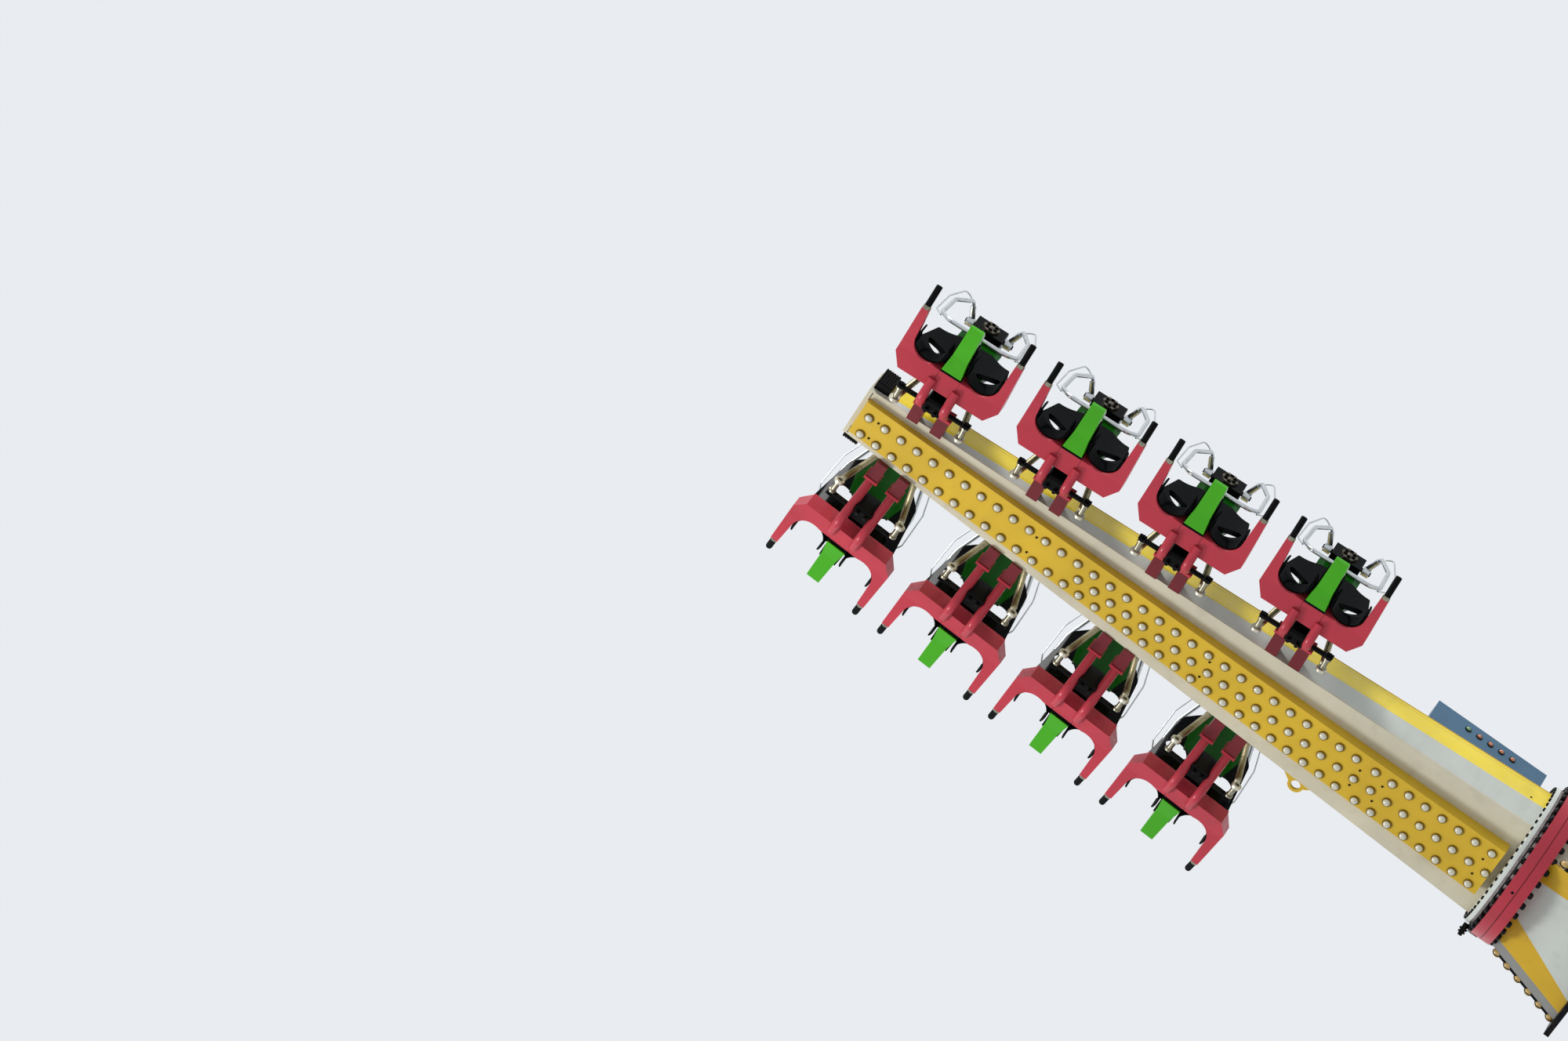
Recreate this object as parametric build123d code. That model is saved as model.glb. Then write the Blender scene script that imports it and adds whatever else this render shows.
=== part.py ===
"""Passenger arm of a flipping fairground ride, with its slewing ring and the end of its main arm.

A tapered box beam carries eight seats, four on each flank, back to back. Its root is bolted to a
slewing ring, and the ring sits on the end of the main arm, which finishes here in a bolted splice.
Millimetres. The origin is the middle of the splice face on the roll axis, +X runs out along the
arm, +Z is the riders' up, and the two rows of seats face +Y and -Y.
"""
import math
import os

from build123d import *

# Main arm stub
STUB_LENGTH = 495.0
STUB_RING_HALF_WIDTH = 305.0
STUB_RING_HALF_HEIGHT = 292.0
STUB_WIDTH_SLOPE = 0.18
STUB_HEIGHT_SLOPE = 0.24
STUB_WALL = 12.0
SPLICE_THICKNESS = 30.0
SPLICE_HALF_WIDTH = 450.0
SPLICE_HALF_HEIGHT = 465.0
SPLICE_BOLT_INSET = 30.0
SPLICE_BOLT_RADIUS = 13.0
SPLICE_CABLE_RADIUS = 45.0
SPLICE_CABLE_OFFSET = 110.0
RAIL_WIDTH = 16.0
RAIL_HEIGHT = 30.0
RAIL_END_CLEARANCE = 40.0

# Slewing ring
RING_RADIUS = 434.0
RING_BAND = 52.0
RING_GROOVE = 6.0
RING_GROOVE_DEPTH = 8.0
RING_WALL = 96.0
RING_ACCESS_RADIUS = 120.0
RING_WEB = 20.0
BEARING_RADIUS = 398.0
BEARING_BORE_RADIUS = 300.0
BEARING_HALF_THICKNESS = 14.0
BEARING_GAP = 7.0
BEARING_CLEARANCE = 0.3
BEARING_SPIGOT_WALL = 26.0
FLANGE_RADIUS = 401.0
FLANGE_THICKNESS = 22.0
FLANGE_ACCESS_RADIUS = 120.0
SENSOR_SIZE = 44.0
SENSOR_SEAT = 6.0
SENSOR_TURN = -53.6

# Beam of the passenger arm: half sizes of its section at the root and at the tip
BEAM_LENGTH = 3890.0
BEAM_PLATE = 10.0
ROOT_HALF_WIDTH = 322.0
ROOT_BOTTOM = -168.0
ROOT_FOLD = 20.0
ROOT_TOP = 232.0
ROOT_TOP_HALF_WIDTH = 272.0
TIP_HALF_WIDTH = 150.0
TIP_BOTTOM = -104.0
TIP_FOLD = -40.0
TIP_TOP = 98.0
TIP_TOP_HALF_WIDTH = 134.0
TRAY_ROOT_HALF_WIDTH = 158.0
TRAY_TIP_HALF_WIDTH = 104.0
TRAY_ROOT_DEPTH = 76.0
TRAY_TIP_DEPTH = 38.0
TRAY_ROOT_MARGIN = 36.0
TRAY_TIP_MARGIN = 16.0
TIP_BUMPER_LENGTH = 84.0
TIP_BUMPER_DEPTH = 40.0
TIP_BUMPER_HEIGHT = 140.0
LUG_TO_SEATS = 400.0
LUG_RADIUS = 42.0
LUG_HALF_BASE = 96.0
LUG_HOLE_RADIUS = 26.0
LUG_REACH = 40.0
LUG_THICKNESS = 16.0
BOX_START = 62.0
BOX_LENGTH = 650.0
BOX_HALF_WIDTH = 205.0
BOX_TOP = 435.0
SHEET = 4.0

# Seat rows
SEATS_PER_ROW = 4
SEAT_PITCH = 700.0
ROW_SPLAY = 3.15
LAST_SEAT = 330.0

# Seat frame, in a seat's own axes: a along the row, y outward from the roll axis, z up
FRAME_HALF_WIDTH = 297.0
FRAME_REAR_HALF_WIDTH = 246.0
FRAME_REAR = 627.0
FRAME_BACK_TOP = 618.0
FRAME_CORNER = 696.0
FRAME_FRONT = 726.0
FRAME_TIP = 966.0
FRAME_TOP = -205.0
FRAME_BOTTOM = -308.0
FRAME_FRONT_BOTTOM = -281.0
FRAME_TIP_BOTTOM = -252.0
FRAME_TIP_TOP = -212.0
ARM_TIP_WIDTH = 40.0
ARM_TIP_DRAFT = 6.0
SEAM_OFFSET = 60.0
SEAM_WIDTH = 4.0
SEAM_DEPTH = 3.0

# Grips on the frame's arms
GRIP_LENGTH = 125.0
GRIP_RISE = 29.0
GRIP_RADIUS = 17.0
COLLAR_RADIUS = 20.0
COLLAR_LENGTH = 10.0
GRIP_OFFSET = 271.0

# Carrying tubes and their brackets on the beam
TUBE_RADIUS = 24.0
TUBE_OFFSET = 67.5
TUBE_ELBOW = (560.0, -346.0)
TUBE_TOP = (392.0, -104.0)
TUBE_FOOT = (672.0, -296.0)
TUBE_BEND = 52.0
BRACKET_HALF_WIDTH = 32.0
BRACKET_LOW = -142.0
BRACKET_HIGH = -62.0
BRACKET_END = 400.0
BRACKET_LIP = 8.0
BRACKET_LIP_LENGTH = 14.0
WALL_REACH = 400.0

# Saddle, back shell, spine and horn
SADDLE_THICKNESS = 26.0
SADDLE_HALF_WIDTH = 241.0
SADDLE_REAR = 650.0
SADDLE_REACH = 812.0
LEG_RADIUS = 84.0
LEG_OFFSET = 151.0
LIP_THICKNESS = 7.5
LIP_CLEARANCE = 0.5
LIP_LOW = -262.0
LIP_REACH = 34.0
POMMEL_HALF_WIDTH = 58.0
POMMEL_TIP_HALF_WIDTH = 49.0
POMMEL_REACH = 900.0
POMMEL_HEIGHT = 46.0
RECLINE = 12.5
BACK_THICKNESS = 26.0
BACK_FOOT = 673.0
BACK_LOW_HALF_WIDTH = 250.0
BACK_WAIST = 60.0
BACK_SHOULDER_HALF_WIDTH = 206.0
BACK_SHOULDER = 384.0
BACK_TOP_HALF_WIDTH = 92.0
BACK_TOP = 497.0
BACK_CORNER_RADIUS = 42.0
BACK_FLAT_HALF_WIDTH = 100.0
BACK_CURL_RADIUS = 263.0
BACK_CURL_ANGLE = 38.0
BACK_CURL_REACH = 110.0
BACK_HOLE_OFFSET = 142.0
BACK_HOLE_HEIGHT = 178.0
BACK_HOLE_HALF_LENGTH = 68.0
BACK_HOLE_HALF_HEIGHT = 50.0
BACK_HOLE_TILT = 24.0
STEM_HALF_WIDTH = 62.0
STEM_THICKNESS = 34.0
SPINE_THICKNESS = 22.0
SPINE_HALF_WIDTH = 118.0
SPINE_SHOULDER_HALF_WIDTH = 150.0
SPINE_LOW = 190.0
SPINE_SHOULDER = 330.0
SPINE_HEIGHT = 700.0
HORN_START = 745.0
HORN_BEND = 834.0
HORN_END = 1018.0
HORN_LOW = -290.0
HORN_BEND_LOW = -266.0
HORN_END_LOW = -243.0
HORN_END_HIGH = -222.0
HORN_TOP = -150.0
HORN_CREST = 954.0
HORN_BASE_HALF_WIDTH = 55.0
HORN_BEND_HALF_WIDTH = 43.0
HORN_END_HALF_WIDTH = 37.0

# Pivot housing above the back, with the shaft of the harness
PIVOT = (530.0, 500.0)
SHAFT_RADIUS = 12.0
SHAFT_HALF_LENGTH = 138.0
HOUSING_HALF_WIDTH = 85.0
HOUSING_REAR = 455.0
HOUSING_FRONT = 580.0
HOUSING_LOW = 420.0
HOUSING_HIGH = 556.0
HOUSING_CHAMFER = 34.0
HEAD_PLATE_RADIUS = 46.0
HEAD_PLATE_THICKNESS = 12.0
HEAD_PLATE_HOLE = 9.0
HEAD_PLATE_CIRCLE = 26.0

# Over-shoulder harness
BORE_CLEARANCE = 0.5
HUB_RADIUS = 25.0
HUB_START = 92.0
HUB_END = 132.0
HARNESS_RADIUS = 11.0
SLEEVE_RADIUS = 15.0
HARNESS_PATH = ((112.0, 546.0, 511.0), (146.0, 640.0, 512.0), (212.0, 738.0, 296.0),
                (220.0, 790.0, 66.0), (170.0, 838.0, -30.0))
HARNESS_BENDS = (46.0, 110.0, 100.0, 50.0)
GUARD_RADIUS = 4.0
GUARD_PATH = ((140.0, 622.0, 512.0), (196.0, 668.0, 532.0), (250.0, 716.0, 330.0),
              (256.0, 770.0, 96.0), (216.0, 802.0, 20.0))
GUARD_BENDS = (60.0, 110.0, 40.0)

# Lock cylinders and their lugs
EYE = (188.0, 427.0, -259.0)
EYE_RADIUS = 26.0
EYE_WIDTH = 24.0
EYE_PIN_RADIUS = 9.0
EYE_PIN_CLEARANCE = 0.3
CYLINDER_TOP = (68.0, 486.0)
CYLINDER_RADIUS = 17.0
CYLINDER_SOCKET_RADIUS = 9.0
CYLINDER_BARREL = 400.0
CYLINDER_NECK = 18.0
CYLINDER_NECK_RADIUS = 8.0
FORK_PLATE = 8.0
FORK_HALF_HEIGHT = 18.0
CROSS_ARM_REAR = 503.0
CROSS_ARM_FRONT = 541.0
CROSS_ARM_LOW = -284.0
CROSS_ARM_HIGH = -234.0
LOCK_BOX_HALF_WIDTH = 50.0
LOCK_BOX_REAR = 470.0
LOCK_BOX_FRONT = 555.0
LOCK_BOX_LOW = -280.0
LOCK_BOX_HIGH = -120.0

X_RING = STUB_LENGTH
X_RING_FRONT = X_RING + 2 * RING_BAND + RING_GROOVE
X_FLANGE = X_RING_FRONT + 2 * BEARING_HALF_THICKNESS + BEARING_GAP
X_ROOT = X_FLANGE + FLANGE_THICKNESS
X_TIP = X_ROOT + BEAM_LENGTH
X_SEATS = X_TIP - LAST_SEAT - (SEATS_PER_ROW - 1) * SEAT_PITCH


def flat(points):
    """Closed face in the XY plane."""
    return make_face(Polyline(*points, close=True))


def mirrored(points):
    """Outline of a symmetric piece from its half at positive a, rear to front."""
    return points + [(-a, y) for a, y in reversed(points)]


def prism(points, low, high):
    """Outline in (a, y), extruded in z from low to high."""
    return Pos(0, 0, low) * extrude(flat(points), amount=high - low)


def side_prism(points, half_width, middle=0.0):
    """Outline in (y, z), extruded along a on both sides of the middle."""
    face = Pos(middle, 0, 0) * (Plane.YZ * flat(points))
    return extrude(face, amount=half_width, both=True)


def rod(start, end, radius):
    """Round bar from start to end."""
    axis = Vector(*end) - Vector(*start)
    plane = Plane(origin=start, z_dir=axis)
    return plane * Cylinder(radius, axis.length, align=(Align.CENTER, Align.CENTER, Align.MIN))


def block(low, high):
    """Box between two opposite corners."""
    size = [h - l for l, h in zip(low, high)]
    centre = [(l + h) / 2 for l, h in zip(low, high)]
    return Pos(*centre) * Box(*size)


def disc(x_low, x_high, radius, bore=0.0):
    """Round plate about the roll axis."""
    shape = rod((x_low, 0, 0), (x_high, 0, 0), radius)
    if bore:
        shape -= rod((x_low - 1, 0, 0), (x_high + 1, 0, 0), bore)
    return shape


def across(x, points):
    """Closed face across the arm at x, from (y, z) points."""
    return Plane(origin=(x, 0, 0), x_dir=(0, 1, 0), z_dir=(1, 0, 0)) * flat(points)


def taper(x_low, low_points, x_high, high_points):
    """Straight-sided solid between two outlines across the arm."""
    return loft([across(x_low, low_points), across(x_high, high_points)], ruled=True)


def tube_along(points, radii, radius):
    """Round bar along straight runs joined by arcs."""
    path = FilletPolyline(*points, radius=radii)
    start = Plane(origin=path @ 0, z_dir=path % 0)
    return sweep(start * Circle(radius), path=path)


def save(name, *shapes):
    """Write one node, of one or more solids."""
    solids = [solid for shape in shapes for solid in shape.solids()]
    whole = solids[0] if len(solids) == 1 else Compound(children=solids)
    export_step(whole, f"parts/{name}.step")


# Main arm
def stub_half(x):
    """Half width and half height of the main arm at x."""
    behind = STUB_LENGTH - x
    return (STUB_RING_HALF_WIDTH + STUB_WIDTH_SLOPE * behind,
            STUB_RING_HALF_HEIGHT + STUB_HEIGHT_SLOPE * behind)


def stub_level_plate(side):
    """Top or bottom plate of the main arm."""
    outlines = []
    for x in (SPLICE_THICKNESS, STUB_LENGTH):
        w, h = stub_half(x)
        outer, inner = side * h, side * (h - STUB_WALL)
        outlines.append([(-w, outer), (w, outer), (w, inner), (-w, inner)])
    return taper(SPLICE_THICKNESS, outlines[0], STUB_LENGTH, outlines[1])


def stub_side_plate(side):
    """Side plate of the main arm, between its top and bottom plates."""
    outlines = []
    for x in (SPLICE_THICKNESS, STUB_LENGTH):
        w, h = stub_half(x)
        outer, inner, top = side * w, side * (w - STUB_WALL), h - STUB_WALL
        outlines.append([(outer, -top), (outer, top), (inner, top), (inner, -top)])
    return taper(SPLICE_THICKNESS, outlines[0], STUB_LENGTH, outlines[1])


def stub_rail(side):
    """Edge rail along a lower corner of the main arm."""
    outlines = []
    ends = (SPLICE_THICKNESS, STUB_LENGTH - RAIL_END_CLEARANCE)
    for x in ends:
        w, h = stub_half(x)
        near, far = side * w, side * (w + RAIL_WIDTH)
        outlines.append([(near, -h), (far, -h), (far, RAIL_HEIGHT - h), (near, RAIL_HEIGHT - h)])
    return taper(ends[0], outlines[0], ends[1], outlines[1])


def splice_flange():
    """Bolted flange that joins this stub to the rest of the main arm."""
    plate = block((0, -SPLICE_HALF_WIDTH, -SPLICE_HALF_HEIGHT),
                  (SPLICE_THICKNESS, SPLICE_HALF_WIDTH, SPLICE_HALF_HEIGHT))
    bolt_y = SPLICE_HALF_WIDTH - SPLICE_BOLT_INSET
    bolt_z = SPLICE_HALF_HEIGHT - SPLICE_BOLT_INSET
    for y, z in ((bolt_y, bolt_z), (bolt_y, bolt_z / 3), (bolt_y / 3, bolt_z)):
        for side_y in (-1, 1):
            for side_z in (-1, 1):
                centre = (side_y * y, side_z * z)
                plate -= rod((-1, *centre), (SPLICE_THICKNESS + 1, *centre), SPLICE_BOLT_RADIUS)
    for side_z in (-1, 1):
        centre = (0, side_z * SPLICE_CABLE_OFFSET)
        plate -= rod((-1, *centre), (SPLICE_THICKNESS + 1, *centre), SPLICE_CABLE_RADIUS)
    return plate


def main_arm():
    save("splice_flange", splice_flange())
    save("main_arm_bottom_plate", stub_level_plate(-1))
    save("main_arm_top_plate", stub_level_plate(1))
    save("main_arm_side_plates", stub_side_plate(-1), stub_side_plate(1))
    save("main_arm_edge_rails", stub_rail(-1), stub_rail(1))


# Slewing ring
def slewing_ring():
    groove_start = X_RING + RING_BAND
    groove_end = groove_start + RING_GROOVE
    bore = RING_RADIUS - RING_WALL
    rear = disc(X_RING, groove_start, RING_RADIUS, bore)
    rear += disc(X_RING, X_RING + RING_WEB, bore, RING_ACCESS_RADIUS)
    rear += disc(groove_start, groove_end, RING_RADIUS - RING_GROOVE_DEPTH, bore)
    save("ring_housing_rear", rear)
    save("ring_housing_front", disc(groove_end, X_RING_FRONT, RING_RADIUS, bore))
    fixed_end = X_RING_FRONT + BEARING_HALF_THICKNESS
    moving_start = fixed_end + BEARING_GAP
    save("bearing_fixed_ring",
         disc(X_RING_FRONT, fixed_end, BEARING_RADIUS, BEARING_BORE_RADIUS))
    spigot = BEARING_BORE_RADIUS - BEARING_CLEARANCE
    moving = disc(moving_start, X_FLANGE, BEARING_RADIUS, spigot - BEARING_SPIGOT_WALL)
    moving += disc(X_RING_FRONT, moving_start, spigot, spigot - BEARING_SPIGOT_WALL)
    save("bearing_moving_ring", moving)
    save("arm_flange", disc(X_FLANGE, X_ROOT, FLANGE_RADIUS, FLANGE_ACCESS_RADIUS))
    sensor = block((X_RING_FRONT - SENSOR_SIZE, -SENSOR_SIZE, -RING_RADIUS - SENSOR_SIZE),
                   (X_ROOT, 0, -RING_RADIUS + SENSOR_SEAT))
    save("ring_sensor", Rot(SENSOR_TURN, 0, 0) * sensor - disc(X_RING, X_ROOT + SENSOR_SIZE, RING_RADIUS))


# Beam
def beam_at(x):
    """Half width, bottom, fold height, top and top half width of the beam at x."""
    out = (x - X_ROOT) / BEAM_LENGTH
    root = (ROOT_HALF_WIDTH, ROOT_BOTTOM, ROOT_FOLD, ROOT_TOP, ROOT_TOP_HALF_WIDTH)
    tip = (TIP_HALF_WIDTH, TIP_BOTTOM, TIP_FOLD, TIP_TOP, TIP_TOP_HALF_WIDTH)
    return [r + (t - r) * out for r, t in zip(root, tip)]


def beam_envelope(x_low=X_ROOT, x_high=X_TIP):
    """Solid of the beam's outer faces."""
    outlines = []
    for x in (x_low, x_high):
        w, bottom, fold, top, wt = beam_at(x)
        outlines.append([(w, bottom), (w, fold), (wt, top - BEAM_PLATE), (wt, top),
                         (-wt, top), (-wt, top - BEAM_PLATE), (-w, fold), (-w, bottom)])
    return taper(x_low, outlines[0], x_high, outlines[1])


def beam_level_plate(top_side):
    """Top or bottom plate of the beam."""
    outlines = []
    for x in (X_ROOT, X_TIP):
        w, bottom, fold, top, wt = beam_at(x)
        half, low = (wt, top - BEAM_PLATE) if top_side else (w, bottom)
        high = low + BEAM_PLATE
        outlines.append([(-half, low), (half, low), (half, high), (-half, high)])
    return taper(X_ROOT, outlines[0], X_TIP, outlines[1])


def beam_flank(side):
    """Folded side plate of the beam."""
    outlines = []
    for x in (X_ROOT, X_TIP):
        w, bottom, fold, top, wt = beam_at(x)
        foot, head = bottom + BEAM_PLATE, top - BEAM_PLATE
        half = [(w, foot), (w, fold), (wt, head),
                (wt - BEAM_PLATE, head), (w - BEAM_PLATE, fold), (w - BEAM_PLATE, foot)]
        outlines.append([(side * y, z) for y, z in half])
    return taper(X_ROOT, outlines[0], X_TIP, outlines[1])


def tray_block(inset):
    """Tapered block of the lamp tray, smaller by inset on its sides, ends and underside."""
    ends = (X_ROOT + TRAY_ROOT_MARGIN + inset, X_TIP - TRAY_TIP_MARGIN - inset)
    outlines = []
    for x in ends:
        out = (x - X_ROOT) / BEAM_LENGTH
        half = TRAY_ROOT_HALF_WIDTH + (TRAY_TIP_HALF_WIDTH - TRAY_ROOT_HALF_WIDTH) * out - inset
        depth = TRAY_ROOT_DEPTH + (TRAY_TIP_DEPTH - TRAY_ROOT_DEPTH) * out - inset
        bottom = beam_at(x)[1]
        outlines.append([(-half, bottom - depth), (half, bottom - depth),
                         (half, bottom), (-half, bottom)])
    return taper(ends[0], outlines[0], ends[1], outlines[1])


def lamp_tray():
    """Shallow folded tray for lamps, under the beam."""
    return tray_block(0) - tray_block(SHEET)


def lifting_lug():
    """Flat eye welded to the lower edge of one flank."""
    x = X_SEATS - LUG_TO_SEATS
    w, bottom = beam_at(x)[:2]
    eye_y = -w - LUG_REACH
    low, high = bottom + LUG_THICKNESS, bottom + 2 * LUG_THICKNESS
    inside = -w + LUG_RADIUS
    plate = prism([(x - LUG_HALF_BASE, -w), (x - LUG_HALF_BASE, inside), (x + LUG_HALF_BASE, inside),
                   (x + LUG_HALF_BASE, -w), (x + LUG_RADIUS, eye_y), (x - LUG_RADIUS, eye_y)], low, high)
    plate += rod((x, eye_y, low), (x, eye_y, high), LUG_RADIUS)
    plate -= rod((x, eye_y, low - 1), (x, eye_y, high + 1), LUG_HOLE_RADIUS)
    return plate - beam_envelope()


def tip_bumper(side):
    """Black block on a flank at the tip."""
    x_low = X_TIP - TIP_BUMPER_LENGTH
    w = beam_at(x_low)[0]
    low = TIP_FOLD - TIP_BUMPER_HEIGHT / 4
    near, far = side * (w - TIP_BUMPER_DEPTH), side * (w + TIP_BUMPER_DEPTH)
    shape = block((x_low, min(near, far), low), (X_TIP, max(near, far), low + TIP_BUMPER_HEIGHT))
    return shape - beam_envelope()


def control_box():
    """Cabinet on top of the beam's root."""
    x_low = X_ROOT + BOX_START
    x_high = x_low + BOX_LENGTH
    shape = block((x_low, -BOX_HALF_WIDTH, 0), (x_high, BOX_HALF_WIDTH, BOX_TOP))
    shape -= block((x_low + SHEET, SHEET - BOX_HALF_WIDTH, 0),
                   (x_high - SHEET, BOX_HALF_WIDTH - SHEET, BOX_TOP - SHEET))
    return shape - beam_envelope()


def tip_plate():
    """Plate that closes the beam's tip."""
    return extrude(beam_envelope().faces().sort_by(Axis.X)[-1], amount=BEAM_PLATE)


def beam():
    save("beam_bottom_plate", beam_level_plate(False))
    save("beam_top_plate", beam_level_plate(True))
    save("beam_left_flank", beam_flank(1))
    save("beam_right_flank", beam_flank(-1))
    save("beam_tip_plate", tip_plate())
    save("lamp_tray", lamp_tray())
    save("lifting_lug", lifting_lug())
    save("tip_bumpers", tip_bumper(1), tip_bumper(-1))
    save("control_box", control_box())


# One seat, in its own axes
def leg_rounds(radius, low, high):
    """Two upright round bars on the middles of the leg openings."""
    return [rod((side * LEG_OFFSET, SADDLE_REACH, low), (side * LEG_OFFSET, SADDLE_REACH, high), radius)
            for side in (-1, 1)]


def seat_frame():
    """Welded fork under the saddle, with a tapering arm on the outside of each leg."""
    tip_outer = FRAME_HALF_WIDTH - ARM_TIP_DRAFT
    past_tip = FRAME_TIP + 1
    outline = mirrored([(FRAME_REAR_HALF_WIDTH, FRAME_BACK_TOP), (FRAME_REAR_HALF_WIDTH, FRAME_REAR),
                        (FRAME_HALF_WIDTH, FRAME_CORNER), (tip_outer, FRAME_TIP)])
    profile = [(FRAME_BACK_TOP, FRAME_TOP), (FRAME_REAR, FRAME_BOTTOM),
               (FRAME_FRONT, FRAME_FRONT_BOTTOM), (FRAME_TIP, FRAME_TIP_BOTTOM),
               (FRAME_TIP, FRAME_TIP_TOP), (FRAME_FRONT, FRAME_TOP)]
    low, high = FRAME_BOTTOM - 1, FRAME_TOP + 1
    round_radius = LEG_RADIUS + LIP_THICKNESS + LIP_CLEARANCE
    plan = prism(outline, low, high)
    plan -= prism(mirrored([(LEG_OFFSET, FRAME_FRONT), (LEG_OFFSET, past_tip)]), low, high)
    plan -= prism(mirrored([(LEG_OFFSET + round_radius, SADDLE_REACH),
                            (tip_outer - ARM_TIP_WIDTH, past_tip)]), low, high)
    for leg in leg_rounds(round_radius, low, high):
        plan -= leg
    frame = plan & side_prism(profile, FRAME_HALF_WIDTH + 1)
    for a in (-SEAM_OFFSET, SEAM_OFFSET):
        groove = side_prism([(FRAME_REAR, FRAME_BOTTOM + SEAM_DEPTH), (FRAME_REAR, FRAME_BOTTOM),
                             (FRAME_FRONT, FRAME_FRONT_BOTTOM), (FRAME_FRONT, FRAME_FRONT_BOTTOM + SEAM_DEPTH)],
                            SEAM_WIDTH / 2, a)
        frame -= groove
    return frame


def grip_parts(side):
    """Collar and rubber grip at the end of one arm."""
    rise = math.radians(GRIP_RISE)
    way = Vector(0, math.cos(rise), math.sin(rise))
    root = Vector(side * GRIP_OFFSET, FRAME_TIP, (FRAME_TIP_BOTTOM + FRAME_TIP_TOP) / 2)
    inside = root - way * COLLAR_LENGTH
    collar_end = root + way * COLLAR_LENGTH
    collar = rod(inside, collar_end, COLLAR_RADIUS) - seat_frame()
    return collar, rod(collar_end, root + way * GRIP_LENGTH, GRIP_RADIUS)


def bracket(side):
    """Box stub that holds a carrying tube out from the flank, before it is cut to the flank."""
    low, high = side * TUBE_OFFSET - BRACKET_HALF_WIDTH, side * TUBE_OFFSET + BRACKET_HALF_WIDTH
    shape = block((low, 0, BRACKET_LOW), (high, BRACKET_END, BRACKET_HIGH))
    shape += block((low - BRACKET_LIP, BRACKET_END - BRACKET_LIP_LENGTH, BRACKET_LOW - BRACKET_LIP),
                   (high + BRACKET_LIP, BRACKET_END, BRACKET_HIGH + BRACKET_LIP))
    return shape


def flank_wall():
    """Block between the lower faces of the two flanks, for cutting what is welded on them."""
    outlines = []
    for x in (X_ROOT, X_TIP):
        w = beam_at(x)[0]
        outlines.append([(-w, -WALL_REACH), (w, -WALL_REACH), (w, WALL_REACH), (-w, WALL_REACH)])
    return taper(X_ROOT, outlines[0], X_TIP, outlines[1])


def carrying_tube(side):
    """Bent tube from the bracket down to an elbow and out under the seat frame."""
    a = side * TUBE_OFFSET
    points = [(a, *TUBE_TOP), (a, *TUBE_ELBOW), (a, *TUBE_FOOT)]
    tube = tube_along(points, TUBE_BEND, TUBE_RADIUS)
    return tube - seat_frame() - bracket(side)


def horn():
    """Bent box that rises between the rider's legs."""
    plan = mirrored([(HORN_BASE_HALF_WIDTH, HORN_START), (HORN_BEND_HALF_WIDTH, HORN_BEND),
                     (HORN_END_HALF_WIDTH, HORN_END)])
    profile = [(HORN_START, HORN_LOW), (HORN_BEND, HORN_BEND_LOW), (HORN_END, HORN_END_LOW),
               (HORN_END, HORN_END_HIGH), (HORN_CREST, HORN_TOP), (HORN_START, HORN_TOP)]
    return prism(plan, HORN_LOW - 1, HORN_TOP + 1) & side_prism(profile, HORN_BASE_HALF_WIDTH + 1)


def back_plane(offset=0.0):
    """Plane of the reclined back: x along the row, y up the back, z outward."""
    lean = math.radians(RECLINE)
    outward = Vector(0, math.cos(lean), math.sin(lean))
    origin = Vector(0, BACK_FOOT, FRAME_TOP) + outward * offset
    return Plane(origin=origin, x_dir=(-1, 0, 0), z_dir=outward)


def back_slab(points, low, high):
    """Outline in the back's plane, between two offsets from its middle."""
    return extrude(back_plane(low) * flat(points), amount=high - low)


def curled_back():
    """Bucket wall of the back: flat behind the spine, its sides curling forward."""
    lean = math.radians(RECLINE)
    upward = (0, -math.sin(lean), math.cos(lean))
    section = Plane(origin=(0, BACK_FOOT, FRAME_TOP), x_dir=(1, 0, 0), z_dir=upward)
    half = BACK_THICKNESS / 2

    def on_curl(side, radius, angle):
        turn = math.radians(angle)
        return (side * (BACK_FLAT_HALF_WIDTH + radius * math.sin(turn)),
                BACK_CURL_RADIUS - half - radius * math.cos(turn))

    inner = BACK_CURL_RADIUS - BACK_THICKNESS
    edges = []
    for radius in (BACK_CURL_RADIUS, inner):
        level = BACK_CURL_RADIUS - half - radius
        edges.append(Line((-BACK_FLAT_HALF_WIDTH, level), (BACK_FLAT_HALF_WIDTH, level)))
        for side in (-1, 1):
            edges.append(ThreePointArc(on_curl(side, radius, 0), on_curl(side, radius, BACK_CURL_ANGLE / 2),
                                       on_curl(side, radius, BACK_CURL_ANGLE)))
    for side in (-1, 1):
        edges.append(Line(on_curl(side, BACK_CURL_RADIUS, BACK_CURL_ANGLE), on_curl(side, inner, BACK_CURL_ANGLE)))
    return extrude(section * make_face(edges), amount=BACK_TOP)


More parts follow.
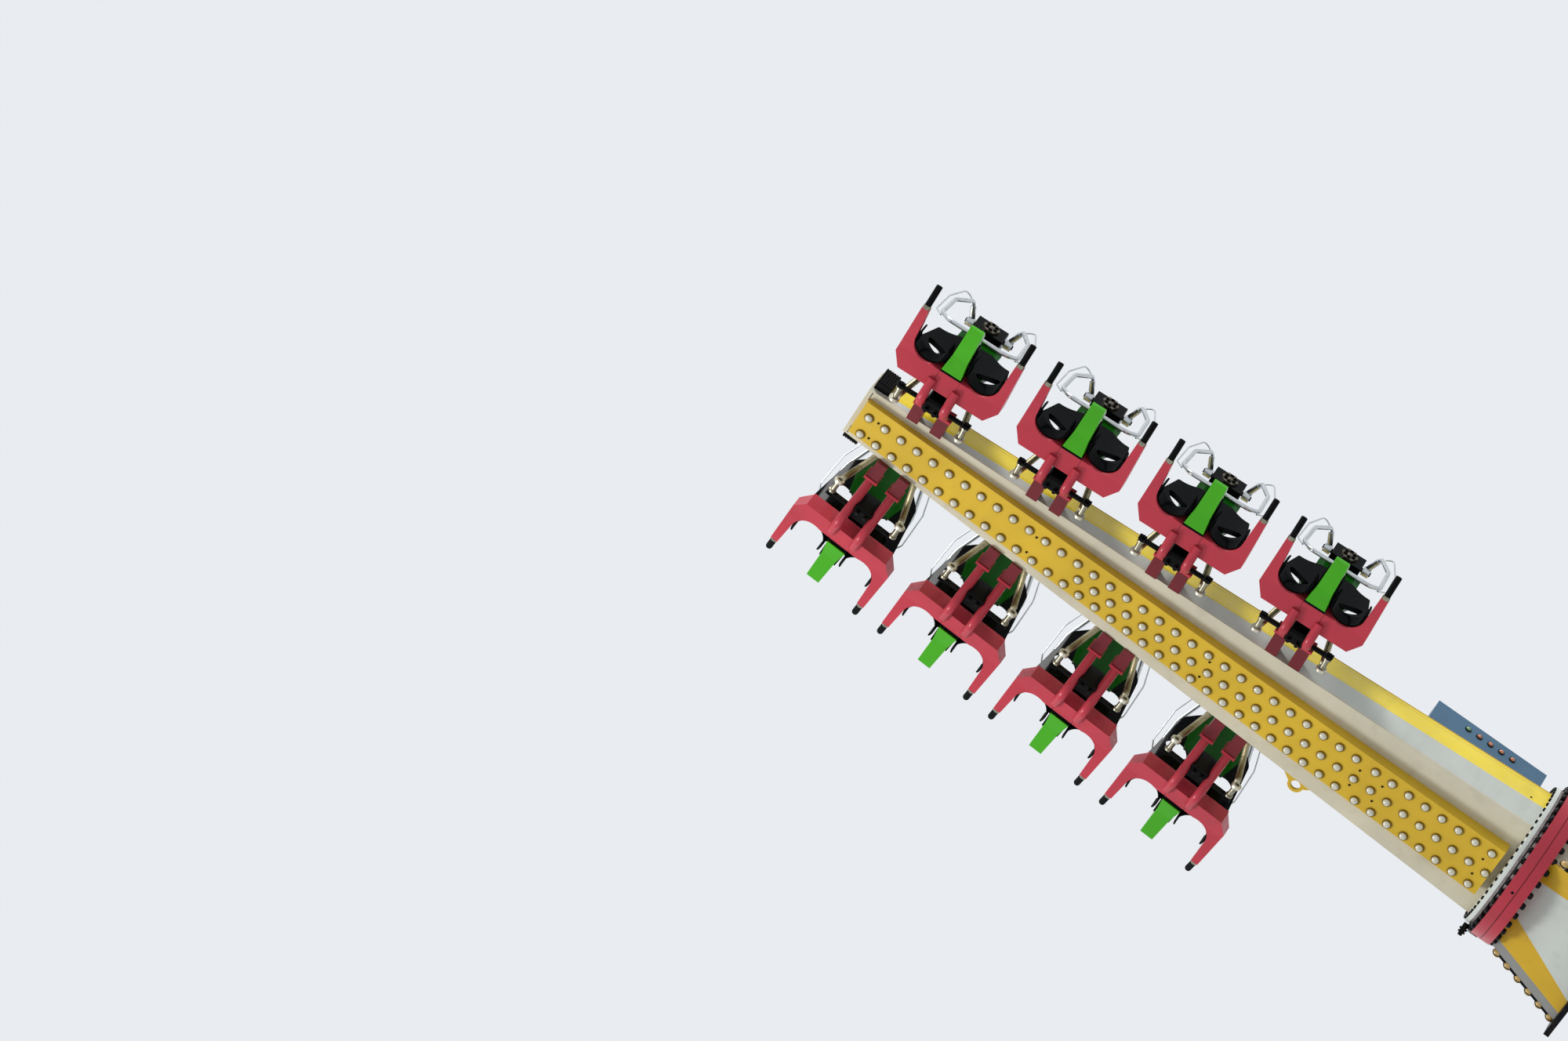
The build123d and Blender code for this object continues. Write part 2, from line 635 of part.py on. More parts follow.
def seat_shell():
    """Moulded bucket: saddle with rolled leg openings, curled back with two lens-shaped openings."""
    top = FRAME_TOP + SADDLE_THICKNESS
    saddle = block((-SADDLE_HALF_WIDTH, SADDLE_REAR, FRAME_TOP), (SADDLE_HALF_WIDTH, SADDLE_REACH, top))
    saddle += prism(mirrored([(POMMEL_HALF_WIDTH, FRAME_FRONT), (POMMEL_TIP_HALF_WIDTH, POMMEL_REACH)]),
                    FRAME_TOP, FRAME_TOP + POMMEL_HEIGHT)
    saddle += block((-POMMEL_HALF_WIDTH, FRAME_FRONT, FRAME_FRONT_BOTTOM), (POMMEL_HALF_WIDTH, HORN_START, top))
    lip_end = block((-SADDLE_HALF_WIDTH - LEG_RADIUS, FRAME_REAR, LIP_LOW),
                    (SADDLE_HALF_WIDTH + LEG_RADIUS, SADDLE_REACH + LIP_REACH, top))
    for lip in leg_rounds(LEG_RADIUS + LIP_THICKNESS, LIP_LOW, top):
        saddle += lip & lip_end
    for leg in leg_rounds(LEG_RADIUS, LIP_LOW - 1, top + POMMEL_HEIGHT):
        saddle -= leg
    half = BACK_THICKNESS / 2
    outline = flat(mirrored([(BACK_LOW_HALF_WIDTH, 0), (BACK_LOW_HALF_WIDTH, BACK_WAIST),
                             (BACK_SHOULDER_HALF_WIDTH, BACK_SHOULDER), (BACK_TOP_HALF_WIDTH, BACK_TOP)]))
    upper = [corner for corner in outline.vertices() if corner.Y > 0]
    outline = fillet(upper, BACK_CORNER_RADIUS)
    for side in (-1, 1):
        lens = Rot(0, 0, side * BACK_HOLE_TILT) * Ellipse(BACK_HOLE_HALF_LENGTH, BACK_HOLE_HALF_HEIGHT)
        outline -= Pos(side * BACK_HOLE_OFFSET, BACK_HOLE_HEIGHT) * lens
    back = curled_back() & extrude(back_plane(-half) * outline, amount=BACK_CURL_REACH)
    stem = back_slab(mirrored([(STEM_HALF_WIDTH, 0), (STEM_HALF_WIDTH, SPINE_LOW)]), -half - STEM_THICKNESS, -half)
    above = block((-FRAME_HALF_WIDTH, 0, FRAME_TOP), (FRAME_HALF_WIDTH, SADDLE_REACH, FRAME_TOP + BACK_TOP))
    return saddle + ((back + stem) & above) - horn()


def spine():
    """Green panel behind the shell, from its waist up to the pivot housing."""
    half = BACK_THICKNESS / 2
    panel = back_slab(mirrored([(SPINE_HALF_WIDTH, SPINE_LOW), (SPINE_SHOULDER_HALF_WIDTH, SPINE_SHOULDER),
                                (SPINE_HALF_WIDTH, BACK_TOP), (SPINE_HALF_WIDTH, SPINE_HEIGHT)]),
                      -half - SPINE_THICKNESS, -half)
    return panel & block((-SPINE_SHOULDER_HALF_WIDTH, HOUSING_REAR, FRAME_TOP),
                         (SPINE_SHOULDER_HALF_WIDTH, BACK_FOOT, HOUSING_LOW))


def pivot_housing():
    """Housing on top of the spine, with the harness shaft through it."""
    outline = [(HOUSING_REAR, HOUSING_LOW), (HOUSING_FRONT, HOUSING_LOW),
               (HOUSING_FRONT, HOUSING_HIGH - HOUSING_CHAMFER),
               (HOUSING_FRONT - HOUSING_CHAMFER, HOUSING_HIGH), (HOUSING_REAR, HOUSING_HIGH)]
    shape = side_prism(outline, HOUSING_HALF_WIDTH)
    return shape + rod((-SHAFT_HALF_LENGTH, *PIVOT), (SHAFT_HALF_LENGTH, *PIVOT), SHAFT_RADIUS)


def head_plate():
    """Hexagonal plate with seven holes on the housing's face."""
    middle = (HOUSING_LOW + HOUSING_HIGH - HOUSING_CHAMFER) / 2
    plane = Plane(origin=(0, HOUSING_FRONT, middle), x_dir=(-1, 0, 0), z_dir=(0, 1, 0))
    face = RegularPolygon(HEAD_PLATE_RADIUS, 6) - Circle(HEAD_PLATE_HOLE)
    for spot in PolarLocations(HEAD_PLATE_CIRCLE, 6, 30):
        face -= spot * Circle(HEAD_PLATE_HOLE)
    return extrude(plane * face, amount=HEAD_PLATE_THICKNESS)


def lock_cylinder(side):
    """Locking cylinder with its eye below and its rod against the housing."""
    top = Vector(side * CYLINDER_TOP[0], CYLINDER_TOP[1], HOUSING_LOW)
    eye = Vector(side * EYE[0], *EYE[1:])
    way = (top - eye).normalized()
    half = Vector(EYE_WIDTH / 2, 0, 0)
    foot = eye + way * (EYE_RADIUS + CYLINDER_NECK)
    barrel_end = eye + way * CYLINDER_BARREL
    bar = rod(eye + way * EYE_RADIUS / 2, top, CYLINDER_NECK_RADIUS)
    bar += rod(foot, barrel_end, CYLINDER_RADIUS)
    bar -= rod(eye - 2 * half, eye + 2 * half, EYE_PIN_RADIUS + EYE_PIN_CLEARANCE)
    ring = rod(eye - half, eye + half, EYE_RADIUS)
    ring -= rod(eye - 2 * half, eye + 2 * half, EYE_PIN_RADIUS + EYE_PIN_CLEARANCE)
    socket = rod(top - way * CYLINDER_NECK, top + way * CYLINDER_NECK, CYLINDER_SOCKET_RADIUS)
    socket &= block((eye.X - SADDLE_REACH, 0, EYE[2]), (eye.X + SADDLE_REACH, SADDLE_REACH, HOUSING_LOW))
    bar &= block((eye.X - SADDLE_REACH, 0, EYE[2]), (eye.X + SADDLE_REACH, SADDLE_REACH, HOUSING_LOW))
    return bar + socket + ring


def cylinder_fork(side):
    """Two plates and a pin that hold a cylinder's eye from the cross arm."""
    a, y, z = side * EYE[0], EYE[1], EYE[2]
    reach = EYE_WIDTH / 2 + EYE_PIN_CLEARANCE
    shape = rod((a - reach - FORK_PLATE, y, z), (a + reach + FORK_PLATE, y, z), EYE_PIN_RADIUS)
    for low in (a - reach - FORK_PLATE, a + reach):
        shape += rod((low, y, z), (low + FORK_PLATE, y, z), FORK_HALF_HEIGHT)
        shape += block((low, y, z - FORK_HALF_HEIGHT), (low + FORK_PLATE, CROSS_ARM_REAR, z + FORK_HALF_HEIGHT))
    return shape


def lock_box():
    """Closed box of the lock between the carrying tubes."""
    shape = block((-LOCK_BOX_HALF_WIDTH, LOCK_BOX_REAR, LOCK_BOX_LOW),
                  (LOCK_BOX_HALF_WIDTH, LOCK_BOX_FRONT, LOCK_BOX_HIGH))
    for side in (-1, 1):
        shape -= carrying_tube(side)
    return shape.solids().sort_by(SortBy.VOLUME)[-1]


def cross_arm(side):
    """Bar from a carrying tube out to the fork of a lock cylinder."""
    outer = EYE[0] + EYE_WIDTH / 2 + EYE_PIN_CLEARANCE + FORK_PLATE
    low, high = sorted((side * TUBE_OFFSET, side * outer))
    shape = block((low, CROSS_ARM_REAR, CROSS_ARM_LOW), (high, CROSS_ARM_FRONT, CROSS_ARM_HIGH))
    shape -= carrying_tube(side)
    return shape.solids().sort_by(SortBy.VOLUME)[-1]


def sleeved_harness_half(side):
    """Shoulder sleeve and thin guard rod on one side of the harness."""
    start, elbow = [Vector(side * a, y, z) for a, y, z in HARNESS_PATH[:2]]
    sleeve_end = elbow - (elbow - start).normalized() * HARNESS_BENDS[0] / 2
    guard = tube_along([(side * a, y, z) for a, y, z in GUARD_PATH], GUARD_BENDS, GUARD_RADIUS)
    return rod(start, sleeve_end, SLEEVE_RADIUS), guard


def harness():
    """Over-shoulder harness: one bent tube from hub to hub round the rider's chest and lap."""
    points = list(HARNESS_PATH) + [(-a, y, z) for a, y, z in reversed(HARNESS_PATH)]
    bends = HARNESS_BENDS + tuple(reversed(HARNESS_BENDS))
    shape = tube_along(points, bends, HARNESS_RADIUS)
    for side in (-1, 1):
        sleeve, guard = sleeved_harness_half(side)
        shape += sleeve
        shape += guard
        start, end = side * HUB_START, side * HUB_END
        shape += rod((start, *PIVOT), (end, *PIVOT), HUB_RADIUS)
        shape -= rod((start - side, *PIVOT), (end + side, *PIVOT), SHAFT_RADIUS + BORE_CLEARANCE)
    return shape


def seat_place(index):
    """Place of a seat in the left row."""
    return Pos(X_SEATS, 0, 0) * Rot(0, 0, -ROW_SPLAY) * Pos(index * SEAT_PITCH, 0, 0)


def in_row(shape, row, index):
    """A seat's piece at its place in the left (1) or right (-1) row."""
    placed = seat_place(index) * shape
    return placed if row > 0 else mirror(placed, about=Plane.XZ)


def all_seats(*shapes):
    """Copies of a seat's pieces on all seats."""
    return [in_row(shape, row, index) for row in (1, -1) for index in range(SEATS_PER_ROW) for shape in shapes]


def row_of(row, *shapes):
    return [in_row(shape, row, index) for index in range(SEATS_PER_ROW) for shape in shapes]


def seats():
    frame, shell = seat_frame(), seat_shell()
    tubes = [carrying_tube(-1), carrying_tube(1)]
    for row, label in ((1, "left"), (-1, "right")):
        save(f"seat_frames_{label}", *row_of(row, frame))
        save(f"seat_shells_{label}", *row_of(row, shell))
        save(f"carrying_tubes_{label}", *row_of(row, *tubes))
    grips = [grip_parts(side) for side in (-1, 1)]
    save("grip_collars", *all_seats(*[pair[0] for pair in grips]))
    save("grips", *all_seats(*[pair[1] for pair in grips]))
    wall = flank_wall()
    save("seat_brackets", *[piece - wall for piece in all_seats(bracket(-1), bracket(1))])
    save("seat_horns", *all_seats(horn()))
    save("seat_spines", *all_seats(spine()))
    save("pivot_housings", *all_seats(pivot_housing()))
    save("head_plates", *all_seats(head_plate()))
    save("lock_cylinders", *all_seats(lock_cylinder(-1), lock_cylinder(1)))
    save("cylinder_lugs", *all_seats(cylinder_fork(-1), cylinder_fork(1)))
    save("lock_boxes", *all_seats(lock_box(), cross_arm(-1), cross_arm(1)))
    restraint = harness()
    for row, label in ((1, "left"), (-1, "right")):
        for index in range(SEATS_PER_ROW):
            save(f"harness_{label}_{index + 1}", in_row(restraint, row, index))


os.makedirs("parts", exist_ok=True)
main_arm()
slewing_ring()
beam()
seats()
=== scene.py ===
# %% [markdown]
# # The passenger arm of a flipping ride
# The ride turns a long box beam with eight seats about its own length while the main arm swings
# it over. Everything here is welded sheet, bent tube and moulded shell, painted in loud colours.
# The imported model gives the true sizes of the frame, so this script only dresses it: paint,
# screws, lamps and the small parts that are too fine for the solid model.

# %% Load the frame
import math

import bmesh
import bpy
from mathutils import Matrix, Vector


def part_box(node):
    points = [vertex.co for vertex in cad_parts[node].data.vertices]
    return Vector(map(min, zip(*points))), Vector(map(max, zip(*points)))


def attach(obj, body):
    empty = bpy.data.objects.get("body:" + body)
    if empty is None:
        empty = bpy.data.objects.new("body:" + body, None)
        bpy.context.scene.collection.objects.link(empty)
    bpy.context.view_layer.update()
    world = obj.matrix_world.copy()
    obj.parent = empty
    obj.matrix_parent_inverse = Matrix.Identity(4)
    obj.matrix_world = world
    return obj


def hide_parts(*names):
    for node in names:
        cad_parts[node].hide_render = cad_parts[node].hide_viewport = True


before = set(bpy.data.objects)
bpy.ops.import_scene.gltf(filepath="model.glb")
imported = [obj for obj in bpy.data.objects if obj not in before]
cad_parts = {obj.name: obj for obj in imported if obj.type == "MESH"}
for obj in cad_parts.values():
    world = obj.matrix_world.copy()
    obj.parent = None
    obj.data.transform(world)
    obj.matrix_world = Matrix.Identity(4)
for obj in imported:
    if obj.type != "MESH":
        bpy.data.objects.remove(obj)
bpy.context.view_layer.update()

# %% [markdown]
# ## Camera
# The picture was taken from the ground with a long lens, looking up at the arm from below its
# left side. The camera's place and two of its axes are written in the frame of the part, so the
# arm itself is never turned. The third axis stands square to the other two.

# %% Camera
CAMERA_PLACE = Vector((2.888, 24.137, -33.957))
CAMERA_RIGHT = Vector((-0.818, 0.443, 0.3668))
CAMERA_BACK = Vector((-0.0397, 0.5928, -0.8044))
FOCAL_LENGTH, SENSOR_WIDTH, FAR_LIMIT = 193.33, 36.0, 300.0
camera_data = bpy.data.cameras.new("camera")
camera_data.lens = FOCAL_LENGTH
camera_data.sensor_width = SENSOR_WIDTH
camera_data.clip_end = FAR_LIMIT
camera = bpy.data.objects.new("camera", camera_data)
bpy.context.collection.objects.link(camera)
back = CAMERA_BACK.normalized()
right = (CAMERA_RIGHT - back * back.dot(CAMERA_RIGHT)).normalized()
turned = Matrix((right, back.cross(right), back)).transposed().to_4x4()
camera.matrix_world = Matrix.Translation(CAMERA_PLACE) @ turned
bpy.context.scene.camera = camera
print("distance to the arm in metres", round(CAMERA_PLACE.length, 1))

# %% [markdown]
# ## Colours
# Paint makers give colours as screen values from 0 to 255. A renderer works with linear light, so
# each value goes through the standard curve once, here.


# %% Colours
def paint_colour(red, green, blue):
    """Linear colour of a screen colour from 0 to 255."""
    def linear(value):
        part = value / 255
        return part / 12.92 if part <= 0.04045 else ((part + 0.055) / 1.055) ** 2.4
    return (linear(red), linear(green), linear(blue), 1.0)


PINK = paint_colour(195, 55, 71)
MUSTARD = paint_colour(220, 176, 36)
YELLOW = paint_colour(222, 182, 44)
# Yellow of the flanks, painted at its sunlit brightness: painted light.
PAINTED_SUNLIT_YELLOW = paint_colour(255, 226, 38)
# Thin line of painted shade where the flank's folded edge begins.
SHADE_BROWN = paint_colour(150, 112, 24)
WARM_CREAM = paint_colour(216, 208, 184)
OFF_WHITE = paint_colour(212, 216, 208)
FLANGE_WHITE = paint_colour(240, 246, 238)
PLAIN_GREY = paint_colour(150, 150, 146)
GREEN = paint_colour(66, 172, 0)
# Green of the seat spines darkened as painted shade.
SHADED_GREEN = paint_colour(10, 72, 8)
BLACK = paint_colour(10, 11, 12)
GREY_BLUE = paint_colour(78, 114, 142)
# Pink of the brackets darkened as painted shade.
BRACKET_PINK_IN_SHADE = paint_colour(112, 24, 34)
# Brown of run stains, and of the painted shade in inner corners.
GRIME_AND_SHADE = paint_colour(70, 62, 48)
CHIPPED = paint_colour(60, 48, 42)
SCUFFED = paint_colour(27, 27, 28)
WEATHERED = paint_colour(74, 60, 44)
print("pink in linear light", [round(v, 3) for v in PINK[:3]])

# %% [markdown]
# ## World and lamps
# The real light is a bright day: sun from above, and light thrown up from the ground on all the
# undersides that the camera sees. A studio copy of that is a pale world that lights everything
# evenly, one wide soft lamp on the sunny side above the arm, and one from below for the light off
# the ground. The pale backdrop is only seen by the camera, in reflections and through clear
# things, so it never lights the paint.

# %% World
WORLD_LIGHT, WORLD_LEVEL = (0.93, 0.97, 1.0, 1.0), 0.56
BACKDROP, BACKDROP_LEVEL = paint_colour(233, 236, 240), 1.0
world = bpy.data.worlds.new("pale studio")
bpy.context.scene.world = world
world.use_nodes = True
world_nodes, world_links = world.node_tree.nodes, world.node_tree.links
world_nodes.clear()
rays = world_nodes.new("ShaderNodeLightPath")
seen = rays.outputs["Is Camera Ray"]
for ray in ("Is Glossy Ray", "Is Transmission Ray"):
    either = world_nodes.new("ShaderNodeMath")
    either.operation = "MAXIMUM"
    world_links.new(seen, either.inputs[0])
    world_links.new(rays.outputs[ray], either.inputs[1])
    seen = either.outputs[0]
chosen = world_nodes.new("ShaderNodeMixShader")
world_links.new(seen, chosen.inputs["Fac"])
for place, colour, level in ((1, WORLD_LIGHT, WORLD_LEVEL), (2, BACKDROP, BACKDROP_LEVEL)):
    glow = world_nodes.new("ShaderNodeBackground")
    glow.inputs["Color"].default_value = colour
    glow.inputs["Strength"].default_value = level
    world_links.new(glow.outputs[0], chosen.inputs[place])
world_out = world_nodes.new("ShaderNodeOutputWorld")
world_links.new(chosen.outputs[0], world_out.inputs["Surface"])
bpy.context.scene.view_settings.view_transform = "Standard"
print("world light at level", WORLD_LEVEL)


# %% Lamps of the studio
def soft_lamp(name, place, width, power):
    """Square area lamp at a place, aimed at the middle of the arm."""
    data = bpy.data.lights.new(name, "AREA")
    data.shape = "SQUARE"
    data.size = width
    data.energy = power
    lamp = bpy.data.objects.new(name, data)
    bpy.context.collection.objects.link(lamp)
    way = ARM_MIDDLE - Vector(place)
    lamp.rotation_mode = "QUATERNION"
    lamp.rotation_quaternion = way.to_track_quat("-Z", "Y")
    lamp.location = place


ARM_MIDDLE = Vector((2.4, 0.0, 0.0))
soft_lamp("lamp from above", (9.4, 6.0, 5.2), 2.4, 680.0)
soft_lamp("lamp from below", (8.6, -4.4, -6.8), 2.6, 480.0)

# %% [markdown]
# ## Floor
# The arm hangs high above the ground, and the camera looks up from under it. The floor is a large
# pale sheet below the arm that shows only from above: its under face is clear and it throws no
# shadow, so the photograph's view and the light from below pass through it.

# %% Floor
FLOOR_LEVEL, FLOOR_HALF = -1.7, 60.0
FLOOR_PAINT, FLOOR_ROUGHNESS = paint_colour(226, 226, 222), 0.9
floor_mesh = bpy.data.meshes.new("floor")
floor_mesh.from_pydata([(x * FLOOR_HALF, y * FLOOR_HALF, FLOOR_LEVEL)
                        for x, y in ((-1, -1), (1, -1), (1, 1), (-1, 1))], [], [(0, 1, 2, 3)])
floor = bpy.data.objects.new("floor", floor_mesh)
bpy.context.collection.objects.link(floor)
floor_paint = bpy.data.materials.new("pale floor")
floor_paint.use_nodes = True
floor_tree = floor_paint.node_tree
floor_shader = floor_tree.nodes["Principled BSDF"]
floor_shader.inputs["Base Color"].default_value = FLOOR_PAINT
floor_shader.inputs["Roughness"].default_value = FLOOR_ROUGHNESS
under_face = floor_tree.nodes.new("ShaderNodeNewGeometry")
clear = floor_tree.nodes.new("ShaderNodeBsdfTransparent")
floor_mix = floor_tree.nodes.new("ShaderNodeMixShader")
floor_out = floor_tree.nodes["Material Output"]
floor_tree.links.new(under_face.outputs["Backfacing"], floor_mix.inputs["Fac"])
floor_tree.links.new(floor_shader.outputs[0], floor_mix.inputs[1])
floor_tree.links.new(clear.outputs[0], floor_mix.inputs[2])
floor_tree.links.new(floor_mix.outputs[0], floor_out.inputs["Surface"])
floor.data.materials.append(floor_paint)
floor.visible_diffuse = floor.visible_glossy = False
floor.visible_transmission = floor.visible_shadow = False
print("floor level", FLOOR_LEVEL)

# %% [markdown]
# ## Finishes
# Nearly all of the arm is two-pack enamel over steel. It is never one flat colour: the spray lies a
# little thicker or thinner, dirt runs down, inner corners are darkened by painted shade mixed with
# dirt, and the gloss changes from patch to patch. Small helpers build those layers, and each finish
# below calls them with its own numbers. All patterns read the object's own coordinates, so they
# stay put on the steel.


# %% Helpers for shader trees
def blank_finish(name):
    """New material with only a surface shader, its tree and its own coordinates."""
    finish = bpy.data.materials.new(name)
    finish.use_nodes = True
    tree = finish.node_tree
    shader = tree.nodes["Principled BSDF"]
    place = tree.nodes.new("ShaderNodeTexCoord").outputs["Object"]
    return finish, tree, shader, place


def plug(tree, socket, value):
    """Sets a socket from a number or a colour, or links it."""
    if isinstance(value, bpy.types.NodeSocket):
        tree.links.new(value, socket)
    else:
        socket.default_value = value


def maths(tree, operation, first, second=0.0, third=None):
    """Result of one sum on numbers or sockets."""
    made = tree.nodes.new("ShaderNodeMath")
    made.operation = operation
    plug(tree, made.inputs[0], first)
    plug(tree, made.inputs[1], second)
    if third is not None:
        plug(tree, made.inputs[2], third)
    return made.outputs[0]


def mixed(tree, amount, first, second, how="MIX"):
    """Colour between two colours."""
    mix = tree.nodes.new("ShaderNodeMix")
    mix.data_type = "RGBA"
    mix.blend_type = how
    plug(tree, mix.inputs[0], amount)
    plug(tree, mix.inputs[6], first)
    plug(tree, mix.inputs[7], second)
    return mix.outputs[2]


def spread(tree, value, low, high, new_low, new_high):
    """A value moved from one range to another."""
    ranged = tree.nodes.new("ShaderNodeMapRange")
    plug(tree, ranged.inputs["Value"], value)
    limits = {"From Min": low, "From Max": high, "To Min": new_low, "To Max": new_high}
    for label, number in limits.items():
        ranged.inputs[label].default_value = number
    return ranged.outputs["Result"]


def mottle(tree, place, size, detail=4.0, stretch=None):
    """Soft noise with patches of about that size in metres."""
    if stretch:
        mapping = tree.nodes.new("ShaderNodeMapping")
        tree.links.new(place, mapping.inputs["Vector"])
        mapping.inputs["Scale"].default_value = stretch
        place = mapping.outputs["Vector"]
    noise = tree.nodes.new("ShaderNodeTexNoise")
    tree.links.new(place, noise.inputs["Vector"])
    noise.inputs["Scale"].default_value = 1 / size
    noise.inputs["Detail"].default_value = detail
    return noise.outputs["Fac"]


def raised(tree, height, depth):
    """Bump from a height, in metres of depth."""
    bump = tree.nodes.new("ShaderNodeBump")
    bump.inputs["Strength"].default_value = 1.0
    bump.inputs["Distance"].default_value = depth
    tree.links.new(height, bump.inputs["Height"])
    return bump.outputs["Normal"]


# %% Layers of an enamel
SHELTER_REACH, SHADE_AND_GRIME_PATCH = 0.06, 0.03
SPRAY_PATCH, RUN_PATCH, CHIP_PATCH, GLOSS_PATCH, PEEL_PATCH = 0.35, 0.09, 0.012, 0.05, 0.006
RUN_STRETCH, PEEL_DEPTH = (1.0, 1.0, 0.16), 0.0003
NOISE_LOW, NOISE_HIGH = 0.3, 0.7
THIN_SPRAY, THICK_SPRAY = 0.90, 1.06
RUN_STARTS, RUN_IS_FULL, RUN_STRENGTH = 0.54, 0.78, 0.28
CLEAR_COAT, CLEAR_COAT_ROUGHNESS = 0.12, 0.12


def corner_shade_and_grime(tree, place):
    """Amount of painted shade and dirt: most in inner corners, broken up by noise."""
    # Ambient occlusion paints shade into inner corners; the noise breaks it up like dirt.
    shelter = tree.nodes.new("ShaderNodeAmbientOcclusion")
    shelter.samples = 4
    shelter.inputs["Distance"].default_value = SHELTER_REACH
    closed = maths(tree, "SUBTRACT", 1.0, shelter.outputs["AO"])
    patches = mottle(tree, place, SHADE_AND_GRIME_PATCH, 6.0)
    return maths(tree, "MULTIPLY", closed, patches)


def enamel(name, colour, gloss, dirt_and_shade, chips=0.0, shine=0.28):
    """Painted steel: uneven spray, painted shade and dirt in the corners, run marks and a fine
    orange peel.
    """
    finish, tree, shader, place = blank_finish(name)
    cloud = spread(tree, mottle(tree, place, SPRAY_PATCH, 5.0), NOISE_LOW, NOISE_HIGH,
                   THIN_SPRAY, THICK_SPRAY)
    grey = tree.nodes.new("ShaderNodeCombineColor")
    for channel in ("Red", "Green", "Blue"):
        tree.links.new(cloud, grey.inputs[channel])
    coat = mixed(tree, 1.0, colour, grey.outputs["Color"], "MULTIPLY")
    runs = mottle(tree, place, RUN_PATCH, 6.0, RUN_STRETCH)
    stained = spread(tree, runs, RUN_STARTS, RUN_IS_FULL, 0.0, RUN_STRENGTH * dirt_and_shade)
    coat = mixed(tree, stained, coat, GRIME_AND_SHADE)
    shade_and_grime = maths(tree, "MULTIPLY", corner_shade_and_grime(tree, place), dirt_and_shade)
    # Inner corners darkened with painted shade mixed with dirt.
    coat = mixed(tree, shade_and_grime, coat, GRIME_AND_SHADE)
    if chips:
        specks = mottle(tree, place, CHIP_PATCH, 3.0)
        bare = maths(tree, "GREATER_THAN", specks, 1.0 - chips)
        coat = mixed(tree, bare, coat, CHIPPED)
    tree.links.new(coat, shader.inputs["Base Color"])
    patches = mottle(tree, place, GLOSS_PATCH, 5.0)
    dull = spread(tree, patches, NOISE_LOW, NOISE_HIGH, gloss - 0.07, gloss + 0.12)
    tree.links.new(dull, shader.inputs["Roughness"])
    shader.inputs["Specular IOR Level"].default_value = shine
    shader.inputs["Coat Weight"].default_value = CLEAR_COAT
    shader.inputs["Coat Roughness"].default_value = CLEAR_COAT_ROUGHNESS
    peel = mottle(tree, place, PEEL_PATCH, 2.0)
    tree.links.new(raised(tree, peel, PEEL_DEPTH), shader.inputs["Normal"])
    return finish


pink_enamel = enamel("pink enamel", PINK, 0.30, 0.5, 0.19)
yellow_enamel = enamel("yellow enamel", YELLOW, 0.36, 0.35)
white_enamel = enamel("white enamel", FLANGE_WHITE, 0.34, 0.6)
cream_enamel = enamel("cream enamel", WARM_CREAM, 0.38, 0.5)
green_enamel = enamel("green enamel", GREEN, 0.26, 0.3, 0.16)
# The seat spines get the green darkened as painted shade.
shaded_green_enamel = enamel("green enamel in painted shade", SHADED_GREEN, 0.32, 0.12, 0.0, 0.04)
grey_blue_enamel = enamel("grey blue enamel", GREY_BLUE, 0.42, 0.5)
black_enamel = enamel("black enamel", BLACK, 0.36, 0.12, 0.0, 0.03)
print("enamels", [m.name for m in bpy.data.materials if "enamel" in m.name])

# %% [markdown]
# ### Panels of several colours
# The flanks of the beam are white below a long tapering line and yellow above it. That yellow is
# painted at its sunlit brightness, and a thin line of painted shade marks where the folded edge
# begins. The main arm wears wedges of mustard and off-white. The seat brackets are pink past a line
# near their outer ends and painted dark red as shade inside it. A sign painter masks such a line
# with tape, so it is dead straight. In the shader, the colour changes where a point is higher than
# the line is there.


# %% Panels with taped lines
def above_line(tree, along, height, start, end):
    """1 where a point lies above the straight line through two (along, height) points."""
    slope = (end[1] - start[1]) / (end[0] - start[0])
    line = maths(tree, "MULTIPLY_ADD", along, slope, start[1] - slope * start[0])
    return maths(tree, "GREATER_THAN", height, line)


def taped_enamel(name, first, bands, across_axis, gloss, dirt_and_shade, both_sides=False):
    """Enamel that changes colour over each taped line: bands are (start, end, colour)."""
    finish = enamel(name, first, gloss, dirt_and_shade)
    tree = finish.node_tree
    place = next(n for n in tree.nodes if n.type == "TEX_COORD").outputs["Object"]
    split = tree.nodes.new("ShaderNodeSeparateXYZ")
    tree.links.new(place, split.inputs["Vector"])
    across = split.outputs[across_axis]
    if both_sides:
        across = maths(tree, "ABSOLUTE", across)
    colour = first
    for start, end, next_colour in bands:
        over = above_line(tree, split.outputs["X"], across, start, end)
        colour = mixed(tree, over, colour, next_colour)
    base = next(n for n in tree.nodes if n.type == "MIX" and n.blend_type == "MULTIPLY")
    tree.links.new(colour, base.inputs[6])
    return finish


# Flank paint: yellow at its sunlit brightness, and a thin brown band of painted shade at the fold.
flank_bands = [((0.66, 0.022), (4.55, -0.064), PAINTED_SUNLIT_YELLOW),
               ((0.66, 0.1965), (4.55, 0.0625), SHADE_BROWN),
               ((0.66, 0.1990), (4.55, 0.0650), PAINTED_SUNLIT_YELLOW)]
arm_bands = [((0.467, -0.257), (-0.059, -0.356), MUSTARD),
             ((0.445, -0.093), (0.0, -0.259), OFF_WHITE),
             ((0.445, 0.178), (0.0, 0.257), MUSTARD)]
